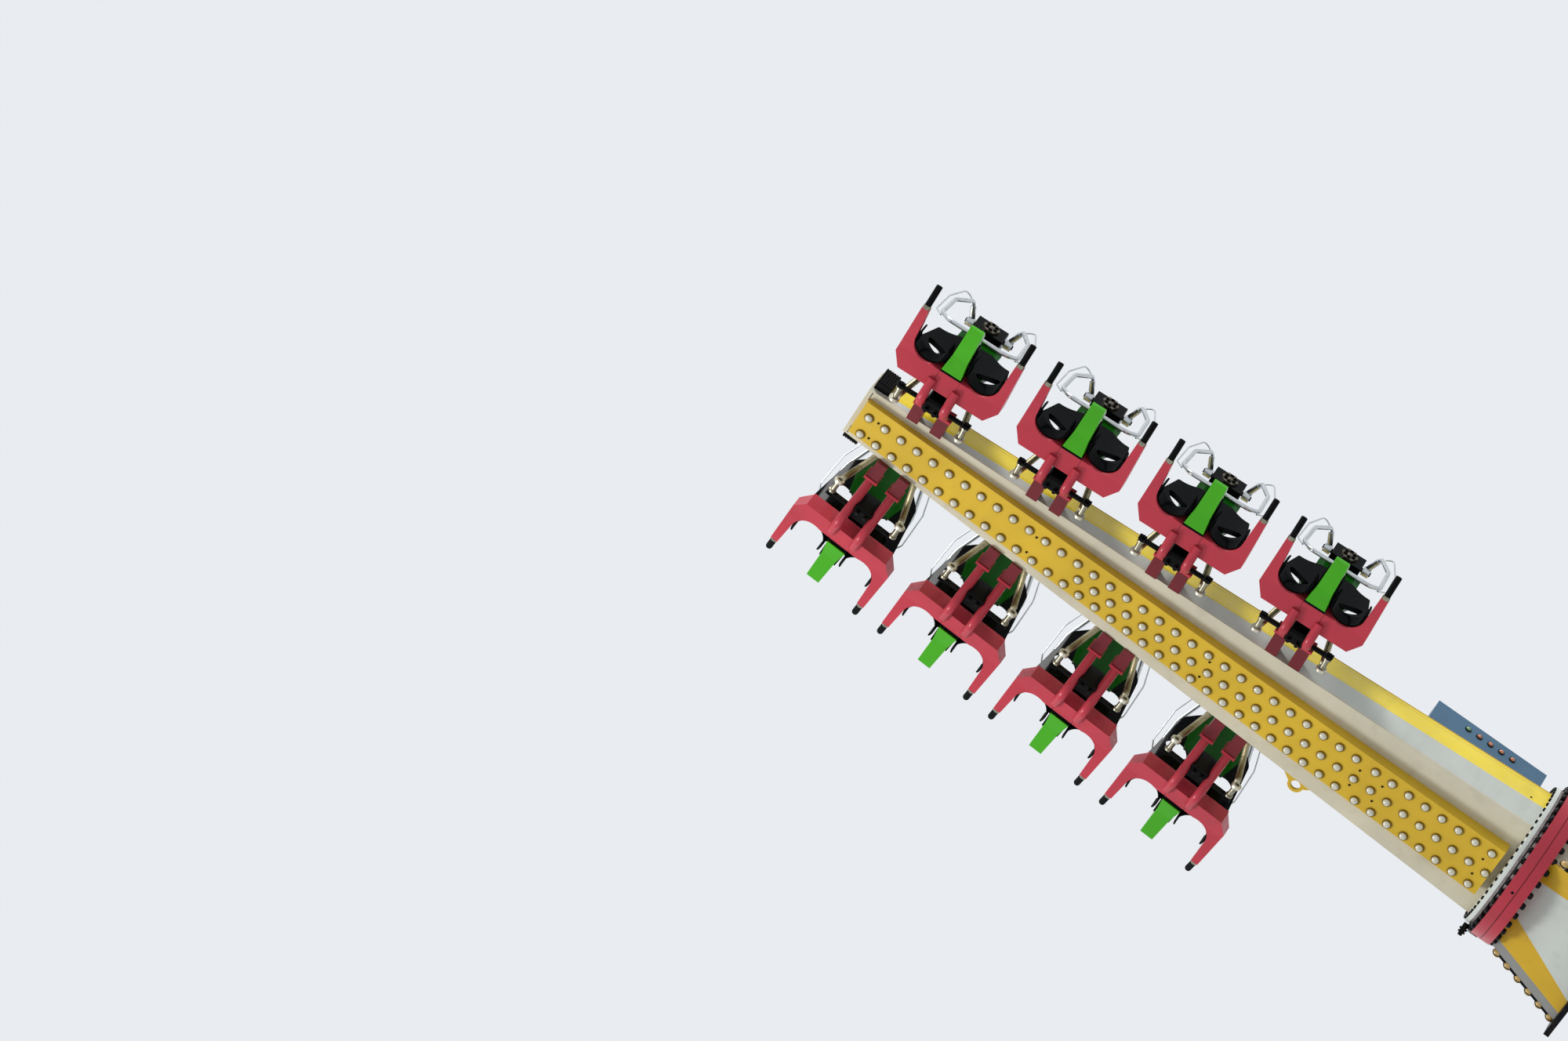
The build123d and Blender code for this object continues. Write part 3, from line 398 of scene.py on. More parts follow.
# The brackets are pink past this line, and dark red painted shade inside it.
bracket_bands = [((2.143, 0.3854), (4.3, 0.2665), PINK)]
flank_enamel = taped_enamel("flank enamel", OFF_WHITE, flank_bands, "Z", 0.34, 0.4)
arm_enamel = taped_enamel("main arm enamel", PLAIN_GREY, arm_bands, "Y", 0.38, 0.5)
shaded_bracket_enamel = taped_enamel("bracket enamel with painted shade", BRACKET_PINK_IN_SHADE, bracket_bands, "Y", 0.34, 0.6, True)
print("bands on each flank", len(flank_bands))

# %% [markdown]
# ### Shell, rubber and bare metal
# The saddles are one glossy black moulding. Grips are soft ribbed rubber, and rods, cylinders and
# the harness tubes are bright metal with fine scratches that catch the light.

# %% Shell, rubber and steel
SCUFF_PATCH, SHELL_PATCH, SHELL_COAT_ROUGHNESS = 0.04, 0.02, 0.10
STAIN_PATCH, POLISH_PATCH, POLISH_STRETCH, POLISH_DEPTH = 0.03, 0.004, (1.0, 0.2, 1.0), 0.0002


def moulded_shell(name, colour, roughness, grain, coat, shine=0.05):
    """Moulded plastic or rubber: a fine grain, with scuffs that dull it."""
    finish, tree, shader, place = blank_finish(name)
    scuffs = spread(tree, mottle(tree, place, SCUFF_PATCH, 6.0), 0.5, 0.75, 0.0, 0.25)
    tree.links.new(mixed(tree, scuffs, colour, SCUFFED), shader.inputs["Base Color"])
    patches = mottle(tree, place, SHELL_PATCH, 5.0)
    dull = spread(tree, patches, 0.35, 0.7, roughness, roughness + 0.15)
    tree.links.new(dull, shader.inputs["Roughness"])
    shader.inputs["Specular IOR Level"].default_value = shine
    shader.inputs["Coat Weight"].default_value = coat
    shader.inputs["Coat Roughness"].default_value = SHELL_COAT_ROUGHNESS
    pores = mottle(tree, place, grain, 3.0)
    tree.links.new(raised(tree, pores, grain / 6), shader.inputs["Normal"])
    return finish


def metal(name, colour, roughness, stain):
    """Bare metal: polish marks, and stains where it has weathered."""
    finish, tree, shader, place = blank_finish(name)
    weather = spread(tree, mottle(tree, place, STAIN_PATCH, 7.0), 0.48, 0.72, 0.0, stain)
    tree.links.new(mixed(tree, weather, colour, WEATHERED), shader.inputs["Base Color"])
    polish = mottle(tree, place, POLISH_PATCH, 4.0, POLISH_STRETCH)
    rough = spread(tree, polish, NOISE_LOW, NOISE_HIGH, roughness - 0.06, roughness + 0.1)
    tree.links.new(rough, shader.inputs["Roughness"])
    shader.inputs["Metallic"].default_value = 1.0
    tree.links.new(raised(tree, polish, POLISH_DEPTH), shader.inputs["Normal"])
    return finish


black_shell = moulded_shell("black shell", paint_colour(5, 6, 7), 0.22, 0.0015, 0.09, 0.0)
grip_rubber = moulded_shell("grip rubber", paint_colour(18, 18, 19), 0.5, 0.002, 0.0)
bright_steel = metal("bright steel", paint_colour(158, 157, 150), 0.34, 0.35)
ring_steel = metal("ring steel", paint_colour(150, 142, 140), 0.42, 0.45)
blued_steel = metal("blued bolt steel", paint_colour(26, 27, 30), 0.34, 0.3)
zinc_steel = metal("zinc steel", paint_colour(150, 146, 128), 0.36, 0.45)
plate_steel = metal("plate steel", paint_colour(104, 100, 88), 0.42, 0.5)
harness_steel = metal("harness steel", paint_colour(198, 202, 204), 0.30, 0.22)
print("metals", [m.name for m in bpy.data.materials if "steel" in m.name])

# %% [markdown]
# ## Dress the frame
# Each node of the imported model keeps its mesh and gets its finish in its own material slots.

# %% Finish of every node
harnesses = " ".join(f"harness_{row}_{number}" for row in ("left", "right")
                     for number in range(1, 5))
nodes_in = (
    (pink_enamel, "ring_housing_rear ring_housing_front carrying_tubes_left carrying_tubes_right "
                  "seat_frames_left seat_frames_right"),
    (yellow_enamel, "beam_top_plate lamp_tray lifting_lug"),
    (white_enamel, "arm_flange"),
    (cream_enamel, "main_arm_top_plate main_arm_side_plates beam_bottom_plate beam_tip_plate"),
    (green_enamel, "seat_horns"),
    (shaded_green_enamel, "seat_spines"),
    (grey_blue_enamel, "control_box"),
    (black_enamel, "main_arm_edge_rails ring_sensor pivot_housings lock_boxes"),
    (flank_enamel, "beam_left_flank beam_right_flank"),
    (arm_enamel, "main_arm_bottom_plate"),
    (shaded_bracket_enamel, "seat_brackets"),
    (black_shell, "seat_shells_left seat_shells_right"),
    (grip_rubber, "tip_bumpers grips"),
    (bright_steel, "lock_cylinders cylinder_lugs"),
    (ring_steel, "bearing_fixed_ring bearing_moving_ring"),
    (blued_steel, "splice_flange"),
    (zinc_steel, "grip_collars"),
    (plate_steel, "head_plates"),
    (harness_steel, harnesses))
finish_of = {node: finish for finish, nodes in nodes_in for node in nodes.split()}
for node, finish in finish_of.items():
    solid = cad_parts[node]
    solid.data.materials.clear()
    solid.data.materials.append(finish)
print("nodes dressed", len(finish_of), "nodes left", sorted(set(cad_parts) - set(finish_of)))

# %% [markdown]
# ## Bolt heads round the slewing ring
# The ring is clamped by three circles of screws. They all follow one rule, so one tree of Geometry
# Nodes makes them: points on a circle, a low round head on each, its top drawn in by a cone.


# %% Helpers for geometry trees
def new_tree(name, sizes):
    """Geometry tree with named sizes as inputs and the finish of the piece as its last input."""
    tree = bpy.data.node_groups.new(name, "GeometryNodeTree")
    tree.interface.new_socket("Geometry", in_out="OUTPUT", socket_type="NodeSocketGeometry")
    for label, kind in sizes.items():
        tree.interface.new_socket(label, in_out="INPUT", socket_type=f"NodeSocket{kind}")
    tree.interface.new_socket("Finish", in_out="INPUT", socket_type="NodeSocketMaterial")
    return tree, tree.nodes.new("NodeGroupInput").outputs


def step(tree, kind, inputs=(), **settings):
    """One node, its settings, and its inputs from values or sockets."""
    made = tree.nodes.new(kind)
    for label, value in settings.items():
        setattr(made, label, value)
    for label, value in dict(inputs).items():
        plug(tree, made.inputs[label], value)
    return made.outputs[0]


def moved(tree, shape, **how):
    """A geometry moved, turned or stretched."""
    return step(tree, "GeometryNodeTransform", {"Geometry": shape, **how})


def copies_on_line(tree, given, shape):
    """Copies of a geometry on the points of a line from Start to End."""
    line = step(tree, "GeometryNodeMeshLine",
                {"Count": given["Count"], "Start Location": given["Start"], "Offset": given["End"]},
                mode="END_POINTS")
    return step(tree, "GeometryNodeInstanceOnPoints", {"Points": line, "Instance": shape})


def end_tree(tree, shape, finish):
    """Ends a tree in real mesh with its material."""
    real = step(tree, "GeometryNodeRealizeInstances", {"Geometry": shape})
    painted = step(tree, "GeometryNodeSetMaterial", {"Geometry": real, "Material": finish})
    tree.links.new(painted, tree.nodes.new("NodeGroupOutput").inputs[0])
    return tree


def grown(name, tree, finish, sizes, smooth=True):
    """Plain mesh of a tree with the given sizes."""
    holder = bpy.data.objects.new(name, bpy.data.meshes.new(name))
    bpy.context.collection.objects.link(holder)
    modifier = holder.modifiers.new("grow", "NODES")
    modifier.node_group = tree
    sockets = {s.name: s.identifier for s in tree.interface.items_tree if s.in_out == "INPUT"}
    for label, value in sizes.items():
        modifier[sockets[label]] = value
    modifier[sockets["Finish"]] = finish
    bpy.context.view_layer.update()
    evaluated = holder.evaluated_get(bpy.context.evaluated_depsgraph_get())
    mesh = bpy.data.meshes.new_from_object(evaluated)
    bpy.data.objects.remove(holder)
    mesh.name = name
    if not mesh.materials:
        mesh.materials.append(finish)
    if smooth:
        mesh.shade_smooth()
        mesh.set_sharp_from_angle(angle=math.radians(35))
    return mesh


def piece(name, mesh, body):
    """Object of a finished mesh, riding on a body."""
    made = bpy.data.objects.new(name, mesh)
    bpy.context.collection.objects.link(made)
    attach(made, body)
    print(name, len(mesh.polygons), "faces")
    return made


def merged(name, meshes):
    """One mesh from several, with the materials of all."""
    whole = bmesh.new()
    finishes = []
    for mesh in meshes:
        first = len(whole.faces)
        whole.from_mesh(mesh)
        whole.faces.ensure_lookup_table()
        finishes += [finish for finish in mesh.materials if finish not in finishes]
        places = [finishes.index(finish) for finish in mesh.materials]
        for face in whole.faces[first:]:
            face.material_index = places[face.material_index]
    result = bpy.data.meshes.new(name)
    whole.to_mesh(result)
    whole.free()
    for finish in finishes:
        result.materials.append(finish)
    return result


# %% Tree for a circle of round heads
HEAD_SIDES, DRUM_SHARE, CAP_SHARE, CAP_DRAWN_TO = 12, 0.7, 0.3, 0.72
circle_tree, given = new_tree("circle of heads", {
    "Count": "Int", "Circle radius": "Float", "Head radius": "Float", "Head height": "Float",
    "Station": "Float", "Turn": "Float"})
ring_points = step(circle_tree, "GeometryNodeMeshCircle",
                   {"Vertices": given["Count"], "Radius": given["Circle radius"]})
drum_height = maths(circle_tree, "MULTIPLY", given["Head height"], DRUM_SHARE)
cap_height = maths(circle_tree, "MULTIPLY", given["Head height"], CAP_SHARE)
cap_radius = maths(circle_tree, "MULTIPLY", given["Head radius"], CAP_DRAWN_TO)
drum = step(circle_tree, "GeometryNodeMeshCylinder",
            {"Vertices": HEAD_SIDES, "Radius": given["Head radius"], "Depth": drum_height})
cap = step(circle_tree, "GeometryNodeMeshCone",
           {"Vertices": HEAD_SIDES, "Radius Top": cap_radius, "Radius Bottom": given["Head radius"],
            "Depth": cap_height})
half_drum = maths(circle_tree, "MULTIPLY", drum_height, 0.5)
drum_lift = step(circle_tree, "ShaderNodeCombineXYZ", {"Z": half_drum})
cap_lift = step(circle_tree, "ShaderNodeCombineXYZ", {"Z": drum_height})
head = circle_tree.nodes.new("GeometryNodeJoinGeometry")
for part, lift in ((drum, drum_lift), (cap, cap_lift)):
    circle_tree.links.new(moved(circle_tree, part, Translation=lift), head.inputs[0])
heads = step(circle_tree, "GeometryNodeInstanceOnPoints",
             {"Points": ring_points, "Instance": head.outputs[0]})
turn = step(circle_tree, "ShaderNodeCombineXYZ", {"Y": given["Turn"]})
station = step(circle_tree, "ShaderNodeCombineXYZ", {"X": given["Station"]})
placed = moved(circle_tree, heads, Translation=station, Rotation=turn)
end_tree(circle_tree, placed, given["Finish"])

# %% The three circles of the slewing ring
TOWARDS_TIP, TOWARDS_ROOT = math.radians(90), math.radians(-90)
rear_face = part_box("ring_housing_rear")[0].x
front_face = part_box("ring_housing_front")[1].x
flange_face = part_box("arm_flange")[1].x
for name, body, count, circle, radius, height, face, turn in (
        ("ring_root_bolts", "main_arm", 38, 0.412, 0.0175, 0.022, rear_face, TOWARDS_ROOT),
        ("flange_bolts", "passenger_arm", 54, 0.384, 0.0105, 0.010, flange_face, TOWARDS_TIP),
        ("ring_front_bolts", "main_arm", 40, 0.4155, 0.0165, 0.020, front_face, TOWARDS_TIP)):
    bolts = grown(name.replace("_", " "), circle_tree, blued_steel, {
        "Count": count, "Circle radius": circle, "Head radius": radius, "Head height": height,
        "Station": face, "Turn": turn})
    piece(name, bolts, body)

# %% [markdown]
# ## Lamps of the tray
# Over a hundred round lamps sit on the tray in two rows at the tip and three nearer the ring. Each
# is a pale dome in a base ring, whose dark olive is painted shade at the foot of the dome. A line
# of points carries copies of one dome, and the rows are given by their two ends and their count, as
# they would be on a drilling plan.

# %% Trees for a row of lamps
LENS_SEGMENTS, LENS_RINGS, BASE_SIDES, BASE_DRAWN_TO = 16, 10, 20, 0.9


def row_tree(name, is_lens):
    """Tree for one row of lenses or of their base rings; unturned they hang under a level face."""
    tree, given = new_tree(name, {"Count": "Int", "Start": "Vector", "End": "Vector",
                                  "Radius": "Float", "Height": "Float", "Turn": "Vector"})
    if is_lens:
        shape = step(tree, "GeometryNodeMeshUVSphere",
                     {"Segments": LENS_SEGMENTS, "Rings": LENS_RINGS, "Radius": given["Radius"]})
        flat_by = maths(tree, "DIVIDE", given["Height"], given["Radius"])
        squash = step(tree, "ShaderNodeCombineXYZ", {"X": 1.0, "Y": 1.0, "Z": flat_by})
        shape = moved(tree, shape, Scale=squash)
    else:
        top = maths(tree, "MULTIPLY", given["Radius"], BASE_DRAWN_TO)
        shape = step(tree, "GeometryNodeMeshCone",
                     {"Vertices": BASE_SIDES, "Radius Top": top, "Radius Bottom": given["Radius"],
                      "Depth": given["Height"]})
        shape = moved(tree, shape, Rotation=(math.pi, 0, 0))
    shape = moved(tree, shape, Rotation=given["Turn"])
    return end_tree(tree, copies_on_line(tree, given, shape), given["Finish"])


lens_tree = row_tree("row of lenses", True)
base_tree = row_tree("row of lamp bases", False)
print("trees", lens_tree.name, "and", base_tree.name)

# %% Lens material
MILK, MILK_PATCH, RIB_PATCH, RIB_DEPTH = paint_colour(176, 170, 146), 0.008, 0.004, 0.0008
LENS_ROUGHNESS, LENS_COAT, LENS_COAT_ROUGHNESS = 0.18, 0.8, 0.04


def lamp_lens(name, colour):
    """Moulded lens: clear gloss over a pale ribbed inside."""
    finish, tree, shader, place = blank_finish(name)
    milky = spread(tree, mottle(tree, place, MILK_PATCH, 3.0), 0.35, 0.65, 0.0, 0.5)
    tree.links.new(mixed(tree, milky, colour, MILK), shader.inputs["Base Color"])
    shader.inputs["Roughness"].default_value = LENS_ROUGHNESS
    shader.inputs["Coat Weight"].default_value = LENS_COAT
    shader.inputs["Coat Roughness"].default_value = LENS_COAT_ROUGHNESS
    ribs = mottle(tree, place, RIB_PATCH, 2.0)
    tree.links.new(raised(tree, ribs, RIB_DEPTH), shader.inputs["Normal"])
    return finish


pale_lens = lamp_lens("pale lens", paint_colour(230, 226, 204))
amber_lens = lamp_lens("amber lens", paint_colour(214, 164, 40))
orange_lens = lamp_lens("orange lens", paint_colour(226, 112, 24))
green_lens = lamp_lens("green lens", paint_colour(40, 170, 60))
# Olive of the tray lamps' base rings is painted shade at the foot of each dome.
pale_base = moulded_shell("lamp base", paint_colour(134, 104, 30), 0.4, 0.001, 0.1)
dark_base = moulded_shell("dark lamp base", paint_colour(30, 28, 24), 0.4, 0.001, 0.2)
print("lenses", [m.name for m in bpy.data.materials if "lens" in m.name])


# %% Rows of lamps
def lamp_row(count, start, end, turn, lens, base):
    """Meshes of a row of lenses and of their bases: lens and base are (finish, radius, height)."""
    ends = {"Count": count, "Start": start, "End": end, "Turn": turn}
    return [grown(name, tree, finish, {**ends, "Radius": radius, "Height": height})
            for name, tree, (finish, radius, height) in (("lenses", lens_tree, lens),
                                                         ("bases", base_tree, base))]


# %% The rows on the tray
tray_low, tray_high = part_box("lamp_tray")
TRAY_TIP_LEVEL, LAMP_SINK, SCREW_SINK = -0.1428, 0.003, 0.0015
HANGING = (0, 0, 0)


def under_tray(x, y, sink):
    """Point on the tray's under face, a little below it."""
    share = (x - tray_low.x) / (tray_high.x - tray_low.x)
    return (x, y, tray_low.z + (TRAY_TIP_LEVEL - tray_low.z) * share - sink)


# Each row: station of its first and last lamp, their places across the tray, number of lamps
lamp_rows = ((0.750, 1.444, 0.107, 0.093, 8), (1.560, 3.131, 0.091, 0.060, 17),
             (3.228, 4.484, 0.058, 0.033, 14), (0.719, 1.412, -0.012, -0.014, 8),
             (1.513, 3.183, -0.017, -0.019, 18), (0.756, 1.446, -0.124, -0.119, 8),
             (1.564, 3.137, -0.117, -0.092, 17), (3.231, 4.477, -0.091, -0.076, 14))
tray_lens, tray_base = (pale_lens, 0.0212, 0.017), (pale_base, 0.0258, 0.006)
tray_rows = [lamp_row(count, under_tray(x_start, y_start, LAMP_SINK),
                      under_tray(x_end, y_end, LAMP_SINK), HANGING, tray_lens, tray_base)
             for x_start, x_end, y_start, y_end, count in lamp_rows]
tray_lenses, tray_bases = zip(*tray_rows)
piece("tray_lenses", merged("tray lenses", tray_lenses), "passenger_arm")
piece("tray_lamp_bases", merged("tray lamp bases", tray_bases), "passenger_arm")
print("lamps on the tray", sum(row[-1] for row in lamp_rows))

# %% Screws of the tray
SCREW_STATIONS = (0.77, 1.376, 1.511, 2.42, 3.469, 4.431)
SCREW_LEFT, SCREW_RIGHT, SCREW_DRIFT = 0.047, -0.061, 0.002
SCREW_SIZES = {"Radius": 0.006, "Height": 0.003}
screw_meshes = []
for x in SCREW_STATIONS:
    drift = SCREW_DRIFT * (x - SCREW_STATIONS[0])
    screw_meshes.append(grown("screws", base_tree, blued_steel, {
        "Count": 2, "Turn": HANGING, **SCREW_SIZES,
        "Start": under_tray(x, SCREW_LEFT - drift, SCREW_SINK),
        "End": under_tray(x, SCREW_RIGHT - drift, SCREW_SINK)}))
piece("tray_screws", merged("tray screws", screw_meshes), "passenger_arm")

# %% [markdown]
# ## Lamps of the main arm and of the cabinet
# Round yellow caps line both black rails of the main arm, and a short row of coloured lamps sits
# high on each side of the cabinet. The same two trees make them, turned to face sideways.

# %% Lamps on the rails
RAIL_LENS, RAIL_BASE = (amber_lens, 0.025, 0.024), (dark_base, 0.028, 0.006)
SIDES = ((1, (math.radians(90), 0, 0)), (-1, (math.radians(-90), 0, 0)))
rail_rows = [lamp_row(6, (0.048, side * 0.4015, -0.3843), (0.437, side * 0.3314, -0.2909), turn,
                      RAIL_LENS, RAIL_BASE) for side, turn in SIDES]
rail_lenses, rail_bases = zip(*rail_rows)
piece("rail_lamps", merged("rail lamps", rail_lenses + rail_bases), "main_arm")

# %% Lamps on the cabinet
CABINET_LAMPS, LAMP_DROP, LAMP_STEP, LAMP_FIRST = 5, 0.065, 0.066, 1.176
CABINET_LENS, CABINET_BASE = (0.014, 0.014), (dark_base, 0.018, 0.006)
cabinet_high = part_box("control_box")[1]
cabinet_meshes = []
for side, turn in SIDES:
    for number in range(CABINET_LAMPS):
        spot = (LAMP_FIRST - LAMP_STEP * number, side * cabinet_high.y, cabinet_high.z - LAMP_DROP)
        lens = (orange_lens if number else green_lens, *CABINET_LENS)
        cabinet_meshes += lamp_row(1, spot, spot, turn, lens, CABINET_BASE)
piece("cabinet_lamps", merged("cabinet lamps", cabinet_meshes), "passenger_arm")

# %% [markdown]
# ## Places on the seats
# Each seat has its own axes: along the row, outward from the beam, and up. The rows close in
# towards the tip by a few degrees, and the right row mirrors the left, so one function carries a
# point of a seat to its place on the ride.

# %% Places on the seats
SEAT_COUNT, SEAT_STEP, ROW_START, ROW_SPLAY = 4, 0.7, 2.122, math.radians(3.15)
EVERY_SEAT = [(row, index) for row in (1, -1) for index in range(SEAT_COUNT)]


def on_seat(row, index, point):
    """Place on the ride of a point given in a seat's own axes, in metres."""
    along, outward, height = point
    along += index * SEAT_STEP
    x = ROW_START + along * math.cos(ROW_SPLAY) + outward * math.sin(ROW_SPLAY)
    y = outward * math.cos(ROW_SPLAY) - along * math.sin(ROW_SPLAY)
    return Vector((x, row * y, height))


print("seats", len(EVERY_SEAT), "first at", tuple(round(v, 3) for v in on_seat(1, 0, (0, 0, 0))))

# %% [markdown]
# ## Turned parts and plates
# Small hardware is turned on a lathe or cut from plate. One helper spins a profile about an axis,
# another makes a block with broken edges, and a part made for one seat is copied to all eight.


# %% Helpers for turned parts and plates
def lathe(shape, profile, foot, way, sides=18, finish=0):
    """Adds a turned part from pairs (distance along way, radius) that end on the axis or meet."""
    way = Vector(way).normalized()
    across = way.orthogonal().normalized()
    other = way.cross(across)
    turns = [2 * math.pi * k / sides for k in range(sides)]
    spokes = [across * math.cos(turn) + other * math.sin(turn) for turn in turns]
    rings = []
    meets = profile[0] == profile[-1]
    for reach, radius in profile[:-1] if meets else profile:
        centre = Vector(foot) + way * reach
        if radius == 0:
            rings.append([shape.verts.new(centre)])
            continue
        rings.append([shape.verts.new(centre + spoke * radius) for spoke in spokes])
    if meets:
        rings.append(rings[0])
    for low, high in zip(rings, rings[1:]):
        for k in range(sides):
            after = (k + 1) % sides
            corners = [low[k % len(low)], low[after % len(low)],
                       high[after % len(high)], high[k % len(high)]]
            corners = [v for i, v in enumerate(corners) if v not in corners[:i]]
            if len(corners) > 2:
                shape.faces.new(corners).material_index = finish


def pin(shape, start, end, radius, foot, way, sides, finish=0):
    """Adds a plain round pin, plug, disc or screw head between two distances along way."""
    lathe(shape, [(start, 0), (start, radius), (end, radius), (end, 0)], foot, way, sides, finish)


def slab(shape, low, high, edge):
    """Adds a plate or block between two corners, with its edges broken."""
    block = bmesh.new()
    bmesh.ops.create_cube(block, size=1.0)
    for v in block.verts:
        v.co = Vector([a + (b - a) * (part + 0.5) for a, b, part in zip(low, high, v.co)])
    bmesh.ops.bevel(block, geom=block.edges[:], offset=edge, segments=1, affect="EDGES")
    copies = {v: shape.verts.new(v.co) for v in block.verts}
    for face in block.faces:
        shape.faces.new([copies[v] for v in face.verts])
    block.free()


def turned_mesh(name, shape, finishes):
    """Plain mesh of turned parts and plates, with faces outward and hard edges kept."""
    bmesh.ops.recalc_face_normals(shape, faces=shape.faces)
    mesh = bpy.data.meshes.new(name)
    shape.to_mesh(mesh)
    shape.free()
    for finish in finishes:
        mesh.materials.append(finish)
    mesh.shade_smooth()
    mesh.set_sharp_from_angle(angle=math.radians(32))
    return mesh


def seat_piece(name, shape, finishes):
    """Piece on the passenger arm with a copy of one seat's part on every seat."""
    whole = bmesh.new()
    for row, index in EVERY_SEAT:
        copies = {v: whole.verts.new(on_seat(row, index, v.co)) for v in shape.verts}
        for face in shape.faces:
            corners = [copies[v] for v in face.verts]
            whole.faces.new(corners).material_index = face.material_index
    shape.free()
    return piece(name, turned_mesh(name.replace("_", " "), whole, finishes), "passenger_arm")


# %% [markdown]
# ## Lock cylinders
# Two gas cylinders hold each harness down. A real one is a barrel with a rolled end and a gland, a
# thinner neck and a flat eye, and it hangs on a shoulder bolt with a spacer. All of that is turned
# on a lathe, so each part is a profile spun about its own axis, at the place of the plain cylinder
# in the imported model.

# %% Cylinders, their eyes and their bolts
EYE_SPOT, CYLINDER_HEAD = Vector((0.188, 0.427, -0.259)), Vector((0.068, 0.486, 0.420))
EYE_RADIUS, EYE_HOLE, EYE_THICK, EYE_EDGE, ARM_FACE = 0.027, 0.0125, 0.020, 0.003, 0.503
ROD_START, ROD_RADIUS, SPACER_RADIUS, BOLT_HEAD_RADIUS = 0.398, 0.0075, 0.0145, 0.020
barrel_profile = [(0.040, 0), (0.040, 0.0135), (0.043, 0.0170), (0.056, 0.0170), (0.0575, 0.0155),
                  (0.060, 0.0170), (0.376, 0.0170), (0.378, 0.0188), (0.396, 0.0188),
                  (0.400, 0.0150), (0.400, 0)]
neck_profile = [(0.020, 0), (0.020, 0.0095), (0.034, 0.0095), (0.036, 0.0125), (0.044, 0.0125),
                (0.044, 0)]
half = EYE_THICK / 2
eye_profile = [(-half, EYE_HOLE), (-half, EYE_RADIUS - EYE_EDGE), (-half + EYE_EDGE, EYE_RADIUS),
               (half - EYE_EDGE, EYE_RADIUS), (half, EYE_RADIUS - EYE_EDGE), (half, EYE_HOLE),
               (-half, EYE_HOLE)]
reach = ARM_FACE - EYE_SPOT.y
bolt_profile = [(half - 0.002, 0), (half - 0.002, EYE_HOLE - 0.001), (half, EYE_HOLE - 0.001),
                (half + 0.001, SPACER_RADIUS), (reach - 0.012, SPACER_RADIUS),
                (reach - 0.010, BOLT_HEAD_RADIUS), (reach + 0.001, BOLT_HEAD_RADIUS),
                (reach + 0.001, 0)]
one_seat, one_bolt = bmesh.new(), bmesh.new()
for side in (-1, 1):
    eye = Vector((side * EYE_SPOT.x, *EYE_SPOT.yz))
    rod = Vector((side * CYLINDER_HEAD.x, *CYLINDER_HEAD.yz)) - eye
    way = rod.normalized()
    eye_axis = way.cross(Vector((1, 0, 0))).normalized()
    lathe(one_seat, barrel_profile, eye, way, 20, 1)
    lathe(one_seat, neck_profile, eye, way, 14)
    pin(one_seat, ROD_START, rod.length, ROD_RADIUS, eye, way, 14)
    lathe(one_seat, eye_profile, eye, eye_axis, 24)
    lathe(one_bolt, bolt_profile, eye, (0, 1, 0), 16)
eye_steel = metal("pale eye steel", paint_colour(206, 202, 184), 0.40, 0.25)
barrel_steel = metal("weathered cylinder", paint_colour(146, 136, 104), 0.36, 0.5)
cylinders = seat_piece("harness_lock_cylinders", one_seat, [eye_steel, barrel_steel])
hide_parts("lock_cylinders")
cylinder_bolts = seat_piece("cylinder_shoulder_bolts", one_bolt, [zinc_steel])
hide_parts("cylinder_lugs")

# %% [markdown]
# ## Lock boxes
# Between the two carrying tubes sits the box of the harness lock, with a flat arm out to each
# cylinder's bolt. The lid is a second plate held by screws, and two short drums under it hold the
# pawls. Blocks with broken edges catch the light as cut steel plate does.

# %% Box, lid, drums and arms of the lock
drum_profile = [(-0.002, 0), (-0.002, 0.015), (0.003, 0.015), (0.003, 0.011), (0.022, 0.011),
                (0.022, 0)]
lock = bmesh.new()
slab(lock, (-0.050, 0.470, -0.280), (0.050, 0.548, -0.122), 0.006)
slab(lock, (-0.042, 0.5475, -0.270), (0.042, 0.552, -0.132), 0.0015)
slab(lock, (-0.042, 0.478, -0.284), (0.042, 0.540, -0.2795), 0.0015)
for side in (-1, 1):
    for inner, outer, low, high in ((0.045, 0.206, (0.503, -0.275), (0.517, -0.243)),
                                    (0.170, 0.210, (0.5165, -0.282), (0.523, -0.236))):
        x_low, x_high = sorted((side * inner, side * outer))
        slab(lock, (x_low, *low), (x_high, *high), 0.003)
    lathe(lock, drum_profile, (side * 0.024, 0.491, -0.283), (0, 0.12, -1), 16, 1)
    for y in (0.484, 0.534):
        pin(lock, -0.002, 0.003, 0.0045, (side * 0.036, y, -0.283), (0, 0, -1), 6, 1)
    pin(lock, -0.002, 0.009, 0.0125, (side * 0.188, 0.522, -0.259), (0, 1, 0), 6, 1)
lock_boxes = seat_piece("harness_lock_boxes", lock, [black_enamel, blued_steel])
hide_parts("lock_boxes")

# %% [markdown]
# ## Head plates
# Over each back sits a hexagonal plate with a hole in the middle and six round it. A screw closes
# the middle one, and each of the others is lined with a black rubber bush, which makes the six dark
# spots that show from far away.

